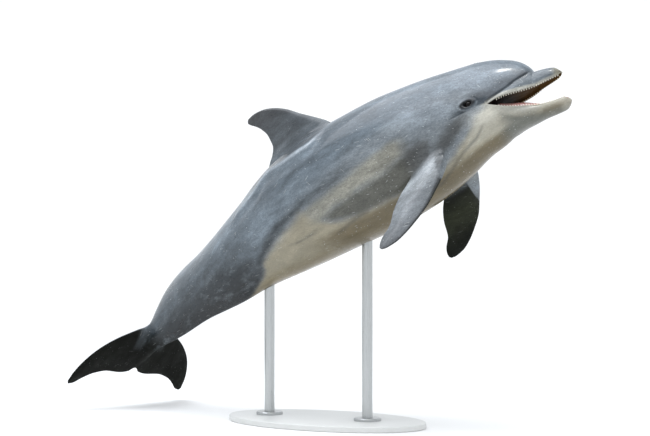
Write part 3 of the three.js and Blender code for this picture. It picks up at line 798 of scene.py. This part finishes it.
# The belly, the pale streak above it, and the olive band between them.
BELLY_EDGE = [
    (0, -50), (150, -45), (300, -30), (392, -34), (451, -40), (518, -47), (600, -52), (780, -48),
    (950, -47), (1034, -44), (1113, -36), (1172, -20), (1247, -26), (1328, -32), (1416, -38),
    (1476, -46), (1501, -56), (1539, -65), (1629, -79), (1691, -86), (1760, -99),
]
belly_edge = line_at(*BELLY_EDGE)
belly = ease(belly_edge - latitude, -7, 7) * trunk
rearward = ease(s, 1060, 1280)
front_low = 4 * ease(s, 520, 640)
streak_top = line_at((560, -8), (677, -3), (801, -8), (915, -12), (1000, -16), (1172, -21))
streak_low = line_at((600, -16), (701, -20), (800, -25), (915, -27), (1018, -30), (1113, -38))
streak = within(latitude, streak_low, streak_top, 5) * within(s, 665, 1172, 40) * trunk
olive = within(latitude, belly_edge, streak_low, 5) * within(s, 640, 1190, 60) * trunk
stripe_line = line_at((370, -8), (458, -19), (517, -26), (570, -30))
stripe = bell(latitude - stripe_line, 9) * within(s, 375, 590, 25)
patch = within(latitude, -42, -12, 7) * within(s, 560, 675, 28)

# The cape, the dark band under it, the saddle below the fin, and the dark stock. A pale line along
# the raised crest under the fin is a painted highlight, and a line under the crest and the back in
# front of the fin are darkened as painted shade.
CAPE_EDGE = [
    (0, 60), (150, 30), (300, 12), (365, 16), (500, 20), (720, 14), (860, 6), (1000, -4),
    (1220, -16), (1364, -26), (1500, -50), (1600, -99),
]
cape = ease(latitude - line_at(*CAPE_EDGE), -10, 12) * trunk
band_line = line_at((860, -3), (990, -10), (1163, -14), (1250, -18), (1337, -23), (1401, -30), (1500, -43))
dark_band = bell(latitude - band_line, 5.5) * (0.7 + 0.3 * ease(s, 1000, 1320)) * within(s, 880, 1540, 60)
# A dark line under the raised crest is painted shade.
under_line = line_at((980, 20), (1080, 20), (1180, 14), (1300, 8))
under_ridge = bell(latitude - under_line, 5) * within(s, 990, 1220, 50)
off_ridge = latitude - line_at(*RIDGE)
saddle = ease(off_ridge, -1, 9) * within(s, 960, 1380, 50) * (0.35 + 0.65 * ease(-l, -60, 60))
dorsal = np.maximum(fin * (latitude > 40) * (s < 1700), 0.85 * saddle)
# The back in front of the fin is darkened as painted shade.
back_painted_shade = within(latitude, 14, 50, 10) * within(s, 720, 1020, 80)
stock_edge = line_at((1384, -31), (1476, -43), (1501, -55), (1539, -63), (1629, -79), (1691, -92))
stock = ease(s - 5.0 * np.maximum(latitude + 34, 0), 1330, 1640) * ease(latitude - stock_edge, -6, 6)
stock *= 1 - (0.9 - 0.4 * ease(s, 1900, 2250)) * ease(latitude, -34, 28)

# The mouth's lining and the lips, jaw and cheek round it. The jaw's underside is painted shade.
lip, low_lip = lip_line(s, False), lip_line(s, True)
lip_width = np.where(h > (lip + low_lip) / 2, reach_aside(s, lip, False), reach_aside(s, low_lip, True))
open_mouth = (h < lip + 13.5) & (h > low_lip - 12) & (s < THROAT + 2) & (s > -6)
mouth = ease(lip_width - np.abs(l), 3, 6) * open_mouth
dry_land = 1 - mouth
lip_depth = line_at((0, 5), (100, 7), (160, 12), (300, 11))
lip_band = ease(lip + lip_depth - h, -4, 6) * (h > lip - 4) * (s < 302) * dry_land
jaw_depth = line_at((0, 18), (60, 20), (100, 28), (200, 38), (300, 42), (340, 24))
jaw_band = ease(h - low_lip + jaw_depth, -12, 16) * (h < low_lip + 8) * (1 - ease(s, 285, 335)) * dry_land
cheek_top = line_at((270, -10), (352, -20), (400, -31), (430, -40), (480, -50))
cheek = within(latitude, -54, cheek_top, 7) * within(s, 255, 450, 45)
# The jaw darkens towards its underside, painted shade.
jaw_underside_shade = ease(low_lip - h, 12, 55) * (1 - ease(s, 240, 330)) * (h < low_lip)
corner = bell(s - 320, 55) * bell(latitude + 24, 11)
jaw_tip = 0.45 * (1 - ease(s, 2, 44)) * (h < -60)

# The melon over the beak, the crease between them, and the lids. The crease is painted dark as
# shade, and the eye's socket nearly black as painted shade over the eye's own dark.
over_crease = h - line_at(*CREASE)
# The crease is painted dark, as shade.
crease = bell(over_crease / np.where(over_crease > 0, 12.0, 3.0))
crease *= ease(s, 98, 116) * (1 - ease(s, 292, 308)) * (h < 60) * (h > lip - 2)
beak = ease(-over_crease, -2, 2) * (s < 300) * (h > lip) * dry_land
risen = ease(s, 140, 230)
shadow = ease(over_crease, -2, 2) * (1 - ease(over_crease, 8 + 16 * risen, 36 + 30 * risen))
shadow *= within(s, 112, 372, 25) * (h > lip)
melon = within(latitude, 20, 42, 9) * within(s, 200, 400, 50)
temple = within(latitude, 0, 30, 9) * within(s, 430, 620, 40)
behind, over = s - LIDS["s"], h - LIDS["h"]
lid_ring = bell(np.hypot(behind / LIDS["long"], over / LIDS["tall"]) - 1.5, 0.16)
lids = lid_ring * (ease(2 - over, -3, 8) + 0.8 * ease(over, 2, 12) * ease(behind, -10, 20))
# The socket round the eye is painted nearly black: painted shade over the eye's own dark.
eye_socket_shade = 1 - ease(np.hypot(behind / 31, (over + 0.06 * behind) / 15.5), 0.85, 1.2)
below_eye = bell(np.hypot((s - 394) / 58, (h + 30 + 0.35 * (s - 394)) / 30))
before_eye = bell(np.hypot((s - 326) / 54, (h - 4) / 24))

slit = bell(l, 2.5) * within(s, 1455, 1590, 15) * (h < 0)
blowhole = bell(s - BLOWHOLE + 0.035 * l**2, 3.0) * bell(l, 17) * (h > 100)
# The first four folds are painted dark along their grooves, as shade.
fold_shade = sum(
    bell(latitude - line_at(*path), 0.8 * width) * within(s, first + 25, last - 25, 25)
    for path, _, width, first, last in FOLDS[:4]
)
masks = {
    "cape": cape,
    "back_painted_shade": np.maximum(under_ridge, back_painted_shade) * trunk,
    "belly": belly * (1 - 0.65 * stripe),
    # The lower belly, most of all in front, is darkened as painted shade.
    "belly_front_shade": belly * (1 - rearward) * ease(-latitude, 50 - front_low, 64 - 2 * front_low),
    "belly_rear_shade": belly * rearward * ease(-latitude, 60, 80),
    "olive": olive,
    "streak": streak,
    "dark_band": np.maximum(dark_band * 0.9, stock) * trunk,
    # The stock's underside is darkened as painted shade.
    "stock_underside_shade": stock * ease(-latitude, 24, 60),
    "patch": np.maximum(0.8 * stripe, patch) * (1 - 0.5 * belly) * trunk,
    "fin": fin * (s < FLUKES_START) * (1 - dorsal) * (1 - under),
    # A pale painted highlight on the outer face of each flipper near its root.
    "fin_root": on_flipper * (1 - ease(out_mm, 30, 150)) * (1 - under),
    "dorsal": dorsal,
    # A pale line just under the raised crest, a painted highlight, fainter on the left side.
    "ridge_highlight": bell(off_ridge + 1.5, 2.0) * within(s, 985, 1420, 50) * (0.3 + 0.7 * (l < 0)),
    "fin_tip": np.maximum(on_flipper * ease(out_mm, 60, 330), dorsal * ease(h, 330, 520)),
    "flipper_edge_shade": flipper_edge_shade,
    # Painted shade: the flippers' inner faces, the flukes and the stock's underside by them, near black.
    "fin_underside_shade": np.maximum(fin * under, np.maximum(tail, on_fluke)),
    "fluke_top": fluke_top,
    # A lighter patch in the middle of the flippers' inner faces, a painted sheen.
    "flipper_inner_sheen": bell(out_mm - 130, 70) * on_flipper * ease(-outward, 0.1, 0.4),
    "beak": beak,
    "shadow": shadow,
    "jaw_underside_shade": jaw_underside_shade,
    "cheek": np.maximum(cheek, jaw_band * 0.85),
    "corner": np.maximum(corner, jaw_tip) * dry_land,
    "melon": np.maximum(melon, 0.8 * temple) * trunk,
    "eye_patch": np.maximum(below_eye, before_eye) * dry_land * (h > lip),
    "lip": lip_band,
    "beak_tip": (1 - ease(s, 2, 34)) * dry_land * (h > -60),
    "lids": lids,
    "eye_socket_shade": eye_socket_shade,
    "crease": crease,
    "fold": fold_shade,
    "slits": np.maximum(slit, blowhole),
    "mouth": mouth,
    # Deeper in the mouth the lining darkens, painted shade.
    "deep": ease(s, 170, 250),
    "bed": ease(-h, 36, 52),
}
for name, share in masks.items():
    write_share(skin, name, share)
skin_map = skin.data.attributes.new("skin_map", "FLOAT_VECTOR", "POINT")
skin_map.data.foreach_set("vector", (np.stack([s, l, h], -1) / 1000).astype(np.float32).ravel())

# Silicone, airbrushed in thin coats and sealed: a soft grey skin, clouded, streaked and
# scratched, with painted shade, highlights and glints, under a clear film whose broken gloss and
# drops make it look wet.
paint, shader = new_material("wet_painted_silicone")
wrap = add_node(paint, "ShaderNodeAttribute", {"attribute_name": "skin_map"}).outputs["Vector"]
share_of = {
    name: add_node(paint, "ShaderNodeAttribute", {"attribute_name": name}).outputs["Fac"] for name in masks
}
TIMES, TIMES_AND_PLUS, LARGER = ({"operation": kind} for kind in ("MULTIPLY", "MULTIPLY_ADD", "MAXIMUM"))
SOFT_ENDS = {"interpolation_type": "SMOOTHSTEP"}
COLOURS = {"data_type": "RGBA"}


def mottles(scale, length, detail, rough, shift):
    """Noise over the skin, in features per metre, drawn out along the body by 1 / length."""
    moved = (shift, shift, shift)
    drawn = add_node(paint, "ShaderNodeMapping", Vector=wrap, Scale=(length, 1, 1), Location=moved)
    noise = add_node(
        paint, "ShaderNodeTexNoise", Vector=drawn.outputs[0], Scale=scale, Detail=detail, Roughness=rough
    )
    return noise.outputs["Fac"]


# The edge of each coat is broken up by mottles some 60 mm long.
ragged = add_node(paint, "ShaderNodeMapRange", SOFT_ENDS, in_0=mottles(16, 0.45, 5, 0.62, 0), in_1=0.3, in_2=0.7)
join(paint, ragged, in_3=-0.896, in_4=0.896)

coats = (  # colour, mask, strength, and whether the coat's edge is ragged
    ("#636d75", "cape", 1.0, True),
    # painted shade on the back
    ("#414a51", "back_painted_shade", 0.7, True),
    ("#8a8472", "belly", 1.0, True),
    # painted shade on the lower belly, front and rear
    ("#615741", "belly_front_shade", 0.9, True),
    ("#756b54", "belly_rear_shade", 0.85, True),
    ("#4f4e45", "olive", 0.9, True),
    ("#858377", "streak", 0.85, True),
    ("#20262a", "dark_band", 0.96, True),
    # painted shade under the stock
    ("#15181a", "stock_underside_shade", 0.7, True),
    ("#3e3f3e", "patch", 0.85, True),
    ("#6f7478", "fin", 1.0, False),
    # painted highlight at the flippers' roots
    ("#aab0b4", "fin_root", 0.72, True),
    ("#41464a", "dorsal", 0.95, True),
    # painted highlight along the crest
    ("#b3bbc2", "ridge_highlight", 0.6, False),
    ("#33302f", "fin_tip", 0.6, True),
    # painted shade on the flippers' leading edge
    ("#262729", "flipper_edge_shade", 0.85, False),
    # painted shade under the fins, near black over their own dark grey
    ("#0d0f0b", "fin_underside_shade", 1.0, False),
    ("#43484c", "fluke_top", 0.8, False),
    # painted sheen on the flippers' inner faces
    ("#2c2f23", "flipper_inner_sheen", 0.7, True),
    ("#636a6f", "beak", 1.0, False),
    ("#3a434b", "shadow", 0.85, True),
    # painted shade under the jaw
    ("#676861", "jaw_underside_shade", 1.0, False),
    ("#a09d90", "cheek", 0.85, True),
    ("#c9c6ba", "corner", 0.7, False),
    ("#87919a", "melon", 0.5, True),
    ("#232a30", "eye_patch", 0.92, True),
    ("#a5a49b", "lip", 0.9, False),
    ("#8b8672", "beak_tip", 0.8, False),
    ("#7a8186", "lids", 0.35, False),
    # painted shade in the eye's socket
    ("#121517", "eye_socket_shade", 1.0, False),
    # painted shade in the crease
    ("#23292e", "crease", 0.55, False),
    # painted shade in the fold grooves
    ("#3a3b3a", "fold", 0.5, False),
    ("#1a1a19", "slits", 0.85, False),
)
colour = linear("#737a7f")
for code, name, strength, is_ragged in coats:
    share = share_of[name]
    if is_ragged:
        # share (1 - share) is highest along the coat's edge and 0 away from it.
        rest = add_node(paint, "ShaderNodeMath", {"operation": "SUBTRACT"}, in_0=1.0, in_1=share).outputs[0]
        edge = add_node(paint, "ShaderNodeMath", TIMES, in_0=share, in_1=rest).outputs[0]
        broken = add_node(paint, "ShaderNodeMath", TIMES_AND_PLUS, in_0=edge, in_1=ragged.outputs[0], in_2=share)
        broken.use_clamp = True
        share = broken.outputs[0]
    share = add_node(paint, "ShaderNodeMath", TIMES, in_0=share, in_1=strength).outputs[0]
    colour = add_node(paint, "ShaderNodeMix", COLOURS, in_0=share, in_6=colour, in_7=linear(code)).outputs[2]

# Paler mottles some 40 mm long lie over the dark of the stock.
pale = add_node(paint, "ShaderNodeMapRange", SOFT_ENDS, in_0=mottles(24, 0.5, 5, 0.65, 11), in_1=0.5, in_2=0.7)
join(paint, pale, in_3=0.0, in_4=0.36)
pale = add_node(paint, "ShaderNodeMath", TIMES, in_0=pale.outputs[0], in_1=share_of["dark_band"]).outputs[0]
colour = add_node(paint, "ShaderNodeMix", COLOURS, in_0=pale, in_6=colour, in_7=linear("#666e73")).outputs[2]

# Blotches, streaks and grain darken and lighten all of it.
shade = 1.0
for noise, spread, darkest, lightest in (
    (mottles(9, 0.5, 4, 0.6, 3), 0.18, 0.76, 1.2),  # blotches 110 mm wide and twice as long
    (mottles(34, 0.3, 5, 0.7, 5), 0.18, 0.8, 1.16),  # streaks 30 mm wide and 100 mm long
    (mottles(210, 0.5, 4, 0.7, 7), 0.16, 0.8, 1.16),  # grain 5 mm wide and 10 mm long
):
    tone = add_node(paint, "ShaderNodeMapRange", SOFT_ENDS, in_0=noise, in_1=0.5 - spread, in_2=0.5 + spread)
    join(paint, tone, in_3=darkest, in_4=lightest)
    shade = add_node(paint, "ShaderNodeMath", TIMES, in_0=shade, in_1=tone.outputs[0]).outputs[0]
# The pale coats are more even, so they take under half of it: 1 + (shade - 1)(1 - 0.55 pale).
pale = add_node(paint, "ShaderNodeMath", LARGER, in_0=share_of["belly"], in_1=share_of["cheek"]).outputs[0]
uneven = add_node(paint, "ShaderNodeMath", TIMES_AND_PLUS, in_0=pale, in_1=-0.55, in_2=1.0).outputs[0]
off = add_node(paint, "ShaderNodeMath", {"operation": "SUBTRACT"}, in_0=shade, in_1=1.0).outputs[0]
shade = add_node(paint, "ShaderNodeMath", TIMES_AND_PLUS, in_0=off, in_1=uneven, in_2=1.0).outputs[0]
colour = add_node(paint, "ShaderNodeVectorMath", {"operation": "SCALE"}, in_0=colour, Scale=shade).outputs[0]

# Three sets of scratches about 1 mm wide, drawn 3 mm wide to show. Each is a lattice of cells
# drawn out to some 100 x 7 mm and turned, in which one cell in five to ten holds a scratch.
scratch = 0.0
for turn, empty in ((0.25, 0.8), (-0.5, 0.88), (1.1, 0.9)):
    turned = add_node(paint, "ShaderNodeMapping", Vector=wrap, Rotation=(0, turn, 0)).outputs[0]
    drawn = add_node(paint, "ShaderNodeMapping", Vector=turned, Scale=(0.07, 1, 1), Location=(turn, turn, turn))
    cells = add_node(paint, "ShaderNodeTexVoronoi", Vector=drawn.outputs[0], Scale=150.0)
    chance = add_node(paint, "ShaderNodeSeparateColor", in_0=cells.outputs["Color"]).outputs[0]
    chosen = add_node(paint, "ShaderNodeMapRange", SOFT_ENDS, in_0=chance, in_1=empty, in_2=empty + 0.02)
    mark = add_node(paint, "ShaderNodeMapRange", SOFT_ENDS, in_0=cells.outputs["Distance"], in_1=0.1, in_2=0.2)
    join(paint, mark, in_3=1.0, in_4=0.0)
    one = add_node(paint, "ShaderNodeMath", TIMES, in_0=mark.outputs[0], in_1=chosen.outputs[0]).outputs[0]
    scratch = add_node(paint, "ShaderNodeMath", LARGER, in_0=scratch, in_1=one).outputs[0]
dark = add_node(paint, "ShaderNodeMath", LARGER, in_0=share_of["fin_underside_shade"], in_1=share_of["dorsal"]).outputs[0]
stock_dark = add_node(paint, "ShaderNodeMath", TIMES, in_0=share_of["dark_band"], in_1=0.75).outputs[0]
dark = add_node(paint, "ShaderNodeMath", LARGER, in_0=dark, in_1=stock_dark).outputs[0]
faint = add_node(paint, "ShaderNodeMath", TIMES_AND_PLUS, in_0=dark, in_1=-0.28, in_2=0.38).outputs[0]
share = add_node(paint, "ShaderNodeMath", TIMES, in_0=scratch, in_1=faint).outputs[0]
colour = add_node(paint, "ShaderNodeMix", COLOURS, in_0=share, in_6=colour, in_7=linear("#c9ccca")).outputs[2]

# Drops of water 3 mm wide, some fainter, painted near white as glints: one cell in four of a 14 mm pattern holds
# one.
cells = add_node(paint, "ShaderNodeTexVoronoi", Vector=wrap, Scale=70.0)
chance = add_node(paint, "ShaderNodeSeparateColor", in_0=cells.outputs["Color"]).outputs[0]
chosen = add_node(paint, "ShaderNodeMapRange", SOFT_ENDS, in_0=chance, in_1=0.72, in_2=1.0).outputs[0]
spot = add_node(paint, "ShaderNodeMapRange", SOFT_ENDS, in_0=cells.outputs["Distance"], in_1=0.08, in_2=0.13)
join(paint, spot, in_3=1.0, in_4=0.0)
glint_drop = add_node(paint, "ShaderNodeMath", TIMES, in_0=spot.outputs[0], in_1=chosen).outputs[0]
faint = add_node(paint, "ShaderNodeMath", TIMES_AND_PLUS, in_0=dark, in_1=-0.5, in_2=0.65).outputs[0]
share = add_node(paint, "ShaderNodeMath", TIMES, in_0=glint_drop, in_1=faint).outputs[0]
colour = add_node(paint, "ShaderNodeMix", COLOURS, in_0=share, in_6=colour, in_7=linear("#e3e8ea")).outputs[2]

# The mouth is lined in brown above and in pink below, and both darken towards the throat as painted shade.
roof_lining, bed_lining = (
    add_node(
        paint, "ShaderNodeMix", COLOURS, in_0=share_of["deep"], in_6=linear(front), in_7=linear(throat)
    ).outputs[2]
    for front, throat in (("#432f12", "#170d0b"), ("#9a6c64", "#3a201c"))
)
lining = add_node(paint, "ShaderNodeMix", COLOURS, in_0=share_of["bed"], in_6=roof_lining, in_7=bed_lining)
colour = add_node(paint, "ShaderNodeMix", COLOURS, in_0=share_of["mouth"], in_6=colour, in_7=lining.outputs[2])

# The film of water is thin or gone in the mouth and under the fins, and patchy elsewhere.
dry = add_node(paint, "ShaderNodeMath", LARGER, in_0=share_of["mouth"], in_1=share_of["fin_underside_shade"]).outputs[0]
noise = mottles(22, 0.5, 3, 0.6, 23)
patchy = add_node(paint, "ShaderNodeMapRange", SOFT_ENDS, in_0=noise, in_1=0.35, in_2=0.65, in_3=0.26, in_4=0.46)
gloss = add_node(paint, "ShaderNodeMath", TIMES_AND_PLUS, in_0=dry, in_1=0.3, in_2=patchy.outputs[0]).outputs[0]
film = add_node(paint, "ShaderNodeMath", TIMES_AND_PLUS, in_0=dry, in_1=-0.53, in_2=0.55).outputs[0]

# Ridges 7 mm apart (900 radians per metre) run across the palate. The rest of the skin is
# finely uneven, and the drops stand out from it.
along = add_node(paint, "ShaderNodeSeparateXYZ", in_0=wrap).outputs[0]
angle = add_node(paint, "ShaderNodeMath", TIMES, in_0=along, in_1=900.0).outputs[0]
wave = add_node(paint, "ShaderNodeMath", {"operation": "SINE"}, in_0=angle).outputs[0]
ridge_height = add_node(paint, "ShaderNodeMath", TIMES, in_0=share_of["mouth"], in_1=0.12).outputs[0]
fine = mottles(30, 0.4, 4, 0.6, 29)
height = add_node(paint, "ShaderNodeMath", TIMES_AND_PLUS, in_0=glint_drop, in_1=0.6, in_2=fine).outputs[0]
height = add_node(paint, "ShaderNodeMath", TIMES_AND_PLUS, in_0=wave, in_1=ridge_height, in_2=height).outputs[0]
bump = add_node(paint, "ShaderNodeBump", Height=height, Distance=0.002, Strength=0.7)
join(paint, shader, Base_Color=colour.outputs[2], Roughness=gloss, Specular_IOR_Level=0.1)
join(paint, shader, Coat_Weight=film, Coat_Roughness=0.15, Normal=bump.outputs[0])
skin.data.materials.clear()
skin.data.materials.append(paint)
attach(skin, "root")
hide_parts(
    "head", "upper_jaw", "lower_jaw", "neck", "chest", "trunk_middle", "loin", "tail_stock",
    "dorsal_fin", "flipper_left", "flipper_right", "fluke_left", "fluke_right",
)

# ------------------------------------------------------------------ eyes
# Glass eyes, blown dark brown with a black pupil and a clear cornea, set in the lids from behind.

# Blown glass: a black pupil, a deep brown iris flecked outward, and a brown white of the eye.
glass, shader = new_material("blown_dark_glass")
here = add_node(glass, "ShaderNodeTexCoord").outputs["Object"]
out = add_node(glass, "ShaderNodeAttribute", {"attribute_name": "from_pupil"}).outputs["Fac"]
flecks = add_node(glass, "ShaderNodeTexNoise", Scale=900.0, Detail=3.0, Vector=here).outputs["Fac"]
iris = add_node(glass, "ShaderNodeMix", COLOURS, in_0=flecks, in_6=linear("#060403"), in_7=linear("#100a06"))
past_iris = add_node(glass, "ShaderNodeMapRange", in_0=out, in_1=0.52, in_2=0.6).outputs[0]
ball = add_node(glass, "ShaderNodeMix", COLOURS, in_0=past_iris, in_6=iris.outputs[2], in_7=linear("#090807"))
past_pupil = add_node(glass, "ShaderNodeMapRange", in_0=out, in_1=0.24, in_2=0.3).outputs[0]
eyeball = add_node(glass, "ShaderNodeMix", COLOURS, in_0=past_pupil, in_6=linear("#030303"))
join(glass, eyeball, in_7=ball.outputs[2])
join(glass, shader, Base_Color=eyeball.outputs[2], Roughness=0.1, Specular_IOR_Level=0.14)

BALL = {"s": 365.0, "h": -6.0, "radius": 17.0, "sunk": 14.5, "cornea": 1.2}


def eye(name, side):
    """A ball with its pole outward, whose radius grows by cornea exp(-(angle / 0.55)2) about the
    pole. from_pupil is the distance from the pole over the radius, and over 1 on the back half."""
    polar, turn = np.meshgrid(np.linspace(0, np.pi, 33), np.linspace(0, 2 * np.pi, 49), indexing="ij")
    ball = BALL["radius"] + BALL["cornea"] * bell(polar, 0.55)
    x = ball * np.sin(polar) * np.cos(turn)
    y = side * ball * np.cos(polar)
    z = ball * np.sin(polar) * np.sin(turn)
    l = side * (curve_through(column(BODY, 3))(BALL["s"]) - BALL["sunk"])
    piece = build_mesh(name, [aligned(x, y, z, BALL["s"], l, BALL["h"])])
    s, l, h = body_coordinates(points_of(piece.data))
    from_pole = np.hypot((s - BALL["s"]) / 1.3, h - BALL["h"]) / BALL["radius"]
    write_share(piece, "from_pupil", from_pole + (side * l < side * l.mean()))
    piece.data.materials.append(glass)
    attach(piece, "root")
    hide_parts(name.replace("glass_", ""))


eye("glass_eye_left", 1)
eye("glass_eye_right", -1)

# ------------------------------------------------------------------ teeth
# Small hooked cones of dental acrylic, ivory with yellower roots, set in one row along each jaw.

# Dental acrylic: white and glossy at the point, yellow and faintly mottled at the root.
enamel, shader = new_material("dental_acrylic")
here = add_node(enamel, "ShaderNodeTexCoord").outputs["Object"]
from_root = add_node(enamel, "ShaderNodeAttribute", {"attribute_name": "from_root"}).outputs["Fac"]
stain = add_node(enamel, "ShaderNodeTexNoise", Scale=700.0, Detail=3.0, Vector=here).outputs["Fac"]
share = add_node(enamel, "ShaderNodeMath", TIMES_AND_PLUS, in_0=stain, in_1=0.4, in_2=from_root).outputs[0]
share = add_node(enamel, "ShaderNodeMapRange", in_0=share, in_1=0.15, in_2=0.75).outputs[0]
ivory = add_node(enamel, "ShaderNodeMix", COLOURS, in_0=share, in_6=linear("#cbbd92"), in_7=linear("#f6f2e4"))
join(enamel, shader, Base_Color=ivory.outputs[2], Roughness=0.25, Coat_Weight=0.3)

TOOTH = {"apart": 10.0, "radius": 2.5, "hook": 2.0, "inset": 9.0, "lift": 0.8}


def tooth_row(name, lip, width, way, tall):
    """Teeth along both sides of a jaw: each is a cone of 8 sides whose radius falls as
    (1 - t)^0.6 and whose axis hooks back as t2. from_root is 0 at the lip and 1 at the point."""
    stations = np.arange(8.0, 262.0, TOOTH["apart"])
    s = np.concatenate([stations, stations])[:, None, None]
    side = np.repeat([1.0, -1.0], len(stations))[:, None, None]
    t = np.array([-0.3, -0.3, 0.0, 0.35, 0.65, 0.88, 1.0])[None, :, None]
    turn = np.linspace(0, 2 * np.pi, 9)[None, None]
    radius = TOOTH["radius"] * np.clip(1 - np.maximum(t, 0), 0, 1) ** 0.6
    radius[:, 0] = 0
    tooth_s = s + TOOTH["hook"] * t**2 * (t > 0) + radius * np.cos(turn)
    tooth_l = side * (width(s) - TOOTH["inset"] - 0.6 * t**2) + radius * np.sin(turn)
    tooth_h = lip(s) + way * (tall * t + TOOTH["lift"]) + 0 * turn
    piece = build_mesh(name, list(place(tooth_s, tooth_l, tooth_h)))
    s, l, h = body_coordinates(points_of(piece.data))
    write_share(piece, "from_root", way * (h - lip(s)) / (tall + TOOTH["lift"]))
    piece.data.materials.append(enamel)
    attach(piece, "root")


tooth_row("teeth_upper", upper_lip, beak_width, -1, 5.6)
tooth_row("teeth_lower", lower_lip, jaw_width, 1, 10.5)

# ------------------------------------------------------------------ tongue
# A silicone casting, pink and wet, that lies in the floor of the mouth with a groove down its middle.

# Soft pink silicone, mottled over 12 mm, with papillae 1.5 mm across drawn 3 mm apart, and wet.
flesh, shader = new_material("pink_silicone")
here = add_node(flesh, "ShaderNodeTexCoord").outputs["Object"]
noise = add_node(flesh, "ShaderNodeTexNoise", Scale=80.0, Detail=4.0, Vector=here).outputs["Fac"]
share = add_node(flesh, "ShaderNodeMapRange", in_0=noise, in_1=0.3, in_2=0.7).outputs[0]
pinks = add_node(flesh, "ShaderNodeMix", COLOURS, in_0=share, in_6=linear("#a96f69"), in_7=linear("#d8aaa2"))
papillae = add_node(flesh, "ShaderNodeTexVoronoi", Scale=330.0, Vector=here).outputs["Distance"]
bumps = add_node(flesh, "ShaderNodeBump", {"invert": True}, Height=papillae, Distance=0.0006, Strength=0.5)
join(flesh, shader, Base_Color=pinks.outputs[2], Roughness=0.3, Normal=bumps.outputs[0])
join(flesh, shader, Subsurface_Weight=0.15, Coat_Weight=0.6)


def tongue_form():
    """Sections from its blunt tip to the throat: l = width cos a, h = middle + half height sin a,
    less a groove of 3 mm along the middle of the top. The tip is a quarter ellipse 40 mm long."""
    tip, blunt_length = 96, 40
    tip_s = tip + blunt_length * (1 - np.cos(np.linspace(0, np.pi / 2, 14)))
    s = np.concatenate([tip_s, np.linspace(140, 312, 40)])[:, None]
    t = np.clip((s - tip) / blunt_length, 0, 1)
    blunt = np.sqrt(t * (2 - t))
    width = 0.72 * (jaw_width(s) - 17) * blunt * (1 - 0.5 * ease(s, 280, 318))
    top = lower_lip(s) + (17 + 15 * ease(s, 105, 190)) * (1 - ease(s, 255, 318))
    middle = (top + lower_lip(s) - 9.5) / 2
    a = np.linspace(0, 2 * np.pi, 49)[None]
    l = width * np.sign(np.cos(a)) * np.abs(np.cos(a)) ** 0.8
    h = middle + (top - middle) * np.sin(a) * blunt - 3.0 * bell(l, 5) * (np.sin(a) > 0) * blunt
    points = place(s, l, h)
    front, rear = (np.repeat(points[[k]].mean(axis=1, keepdims=True), a.size, axis=1) for k in (0, -1))
    return build_mesh("tongue_casting", [np.concatenate([front, points, rear])])


tongue = tongue_form()
tongue.data.materials.append(flesh)
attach(tongue, "root")
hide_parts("tongue")

# ------------------------------------------------------------------ display stand
# An oval steel plate with a satin pale coat, and two brushed steel rods on round feet.

# Powder coat: an even satin grey with an orange-peel skin, waves of 2 mm drawn 5 mm long to show.
satin, shader = new_material("powder_coated_steel")
here = add_node(satin, "ShaderNodeTexCoord").outputs["Object"]
peel = add_node(satin, "ShaderNodeTexNoise", Scale=200.0, Detail=2.0, Vector=here).outputs["Fac"]
dust = add_node(satin, "ShaderNodeTexNoise", Scale=9.0, Detail=5.0, Vector=here).outputs["Fac"]
greys = add_node(satin, "ShaderNodeMix", COLOURS, in_0=dust, in_6=linear("#c9cac8"), in_7=linear("#dadbd9"))
sheen = add_node(satin, "ShaderNodeMapRange", in_0=dust, in_1=0.3, in_2=0.7, in_3=0.38, in_4=0.52)
bumps = add_node(satin, "ShaderNodeBump", Height=peel, Distance=0.0006, Strength=0.5)
join(satin, shader, Base_Color=greys.outputs[2], Roughness=sheen.outputs[0], Normal=bumps.outputs[0])
nodes["stand_base"].data.materials.clear()
nodes["stand_base"].data.materials.append(satin)


def brushed_steel(name, grain):
    """Stainless steel with brush marks about 0.2 mm wide, drawn 1.5 mm wide, along one way: the
    noise is squeezed by grain, in marks per metre on x, y and z."""
    steel, shader = new_material(name)
    here = add_node(steel, "ShaderNodeTexCoord").outputs["Object"]
    drawn = add_node(steel, "ShaderNodeMapping", Vector=here, Scale=grain).outputs[0]
    marks = add_node(steel, "ShaderNodeTexNoise", Scale=1.0, Detail=3.0, Vector=drawn).outputs["Fac"]
    tones = add_node(steel, "ShaderNodeMix", COLOURS, in_0=marks, in_6=linear("#a3a6a7"), in_7=linear("#c6c8c8"))
    gloss = add_node(steel, "ShaderNodeMapRange", in_0=marks, in_1=0.3, in_2=0.7, in_3=0.24, in_4=0.42)
    bumps = add_node(steel, "ShaderNodeBump", Height=marks, Distance=0.0002, Strength=0.4)
    join(steel, shader, Base_Color=tones.outputs[2], Metallic=1.0, Roughness=gloss.outputs[0])
    join(steel, shader, Normal=bumps.outputs[0])
    return steel


# The rods are brushed along their length, and the feet straight across on a belt.
along_rod = brushed_steel("brushed_stainless_rod", (650, 650, 14))
across_foot = brushed_steel("belt_finished_stainless_foot", (650, 20, 650))
for end in ("front", "rear"):
    for part, finish in (("rod", along_rod), ("foot", across_foot)):
        node = nodes[f"stand_{part}_{end}"]
        node.data.materials.clear()
        node.data.materials.append(finish)
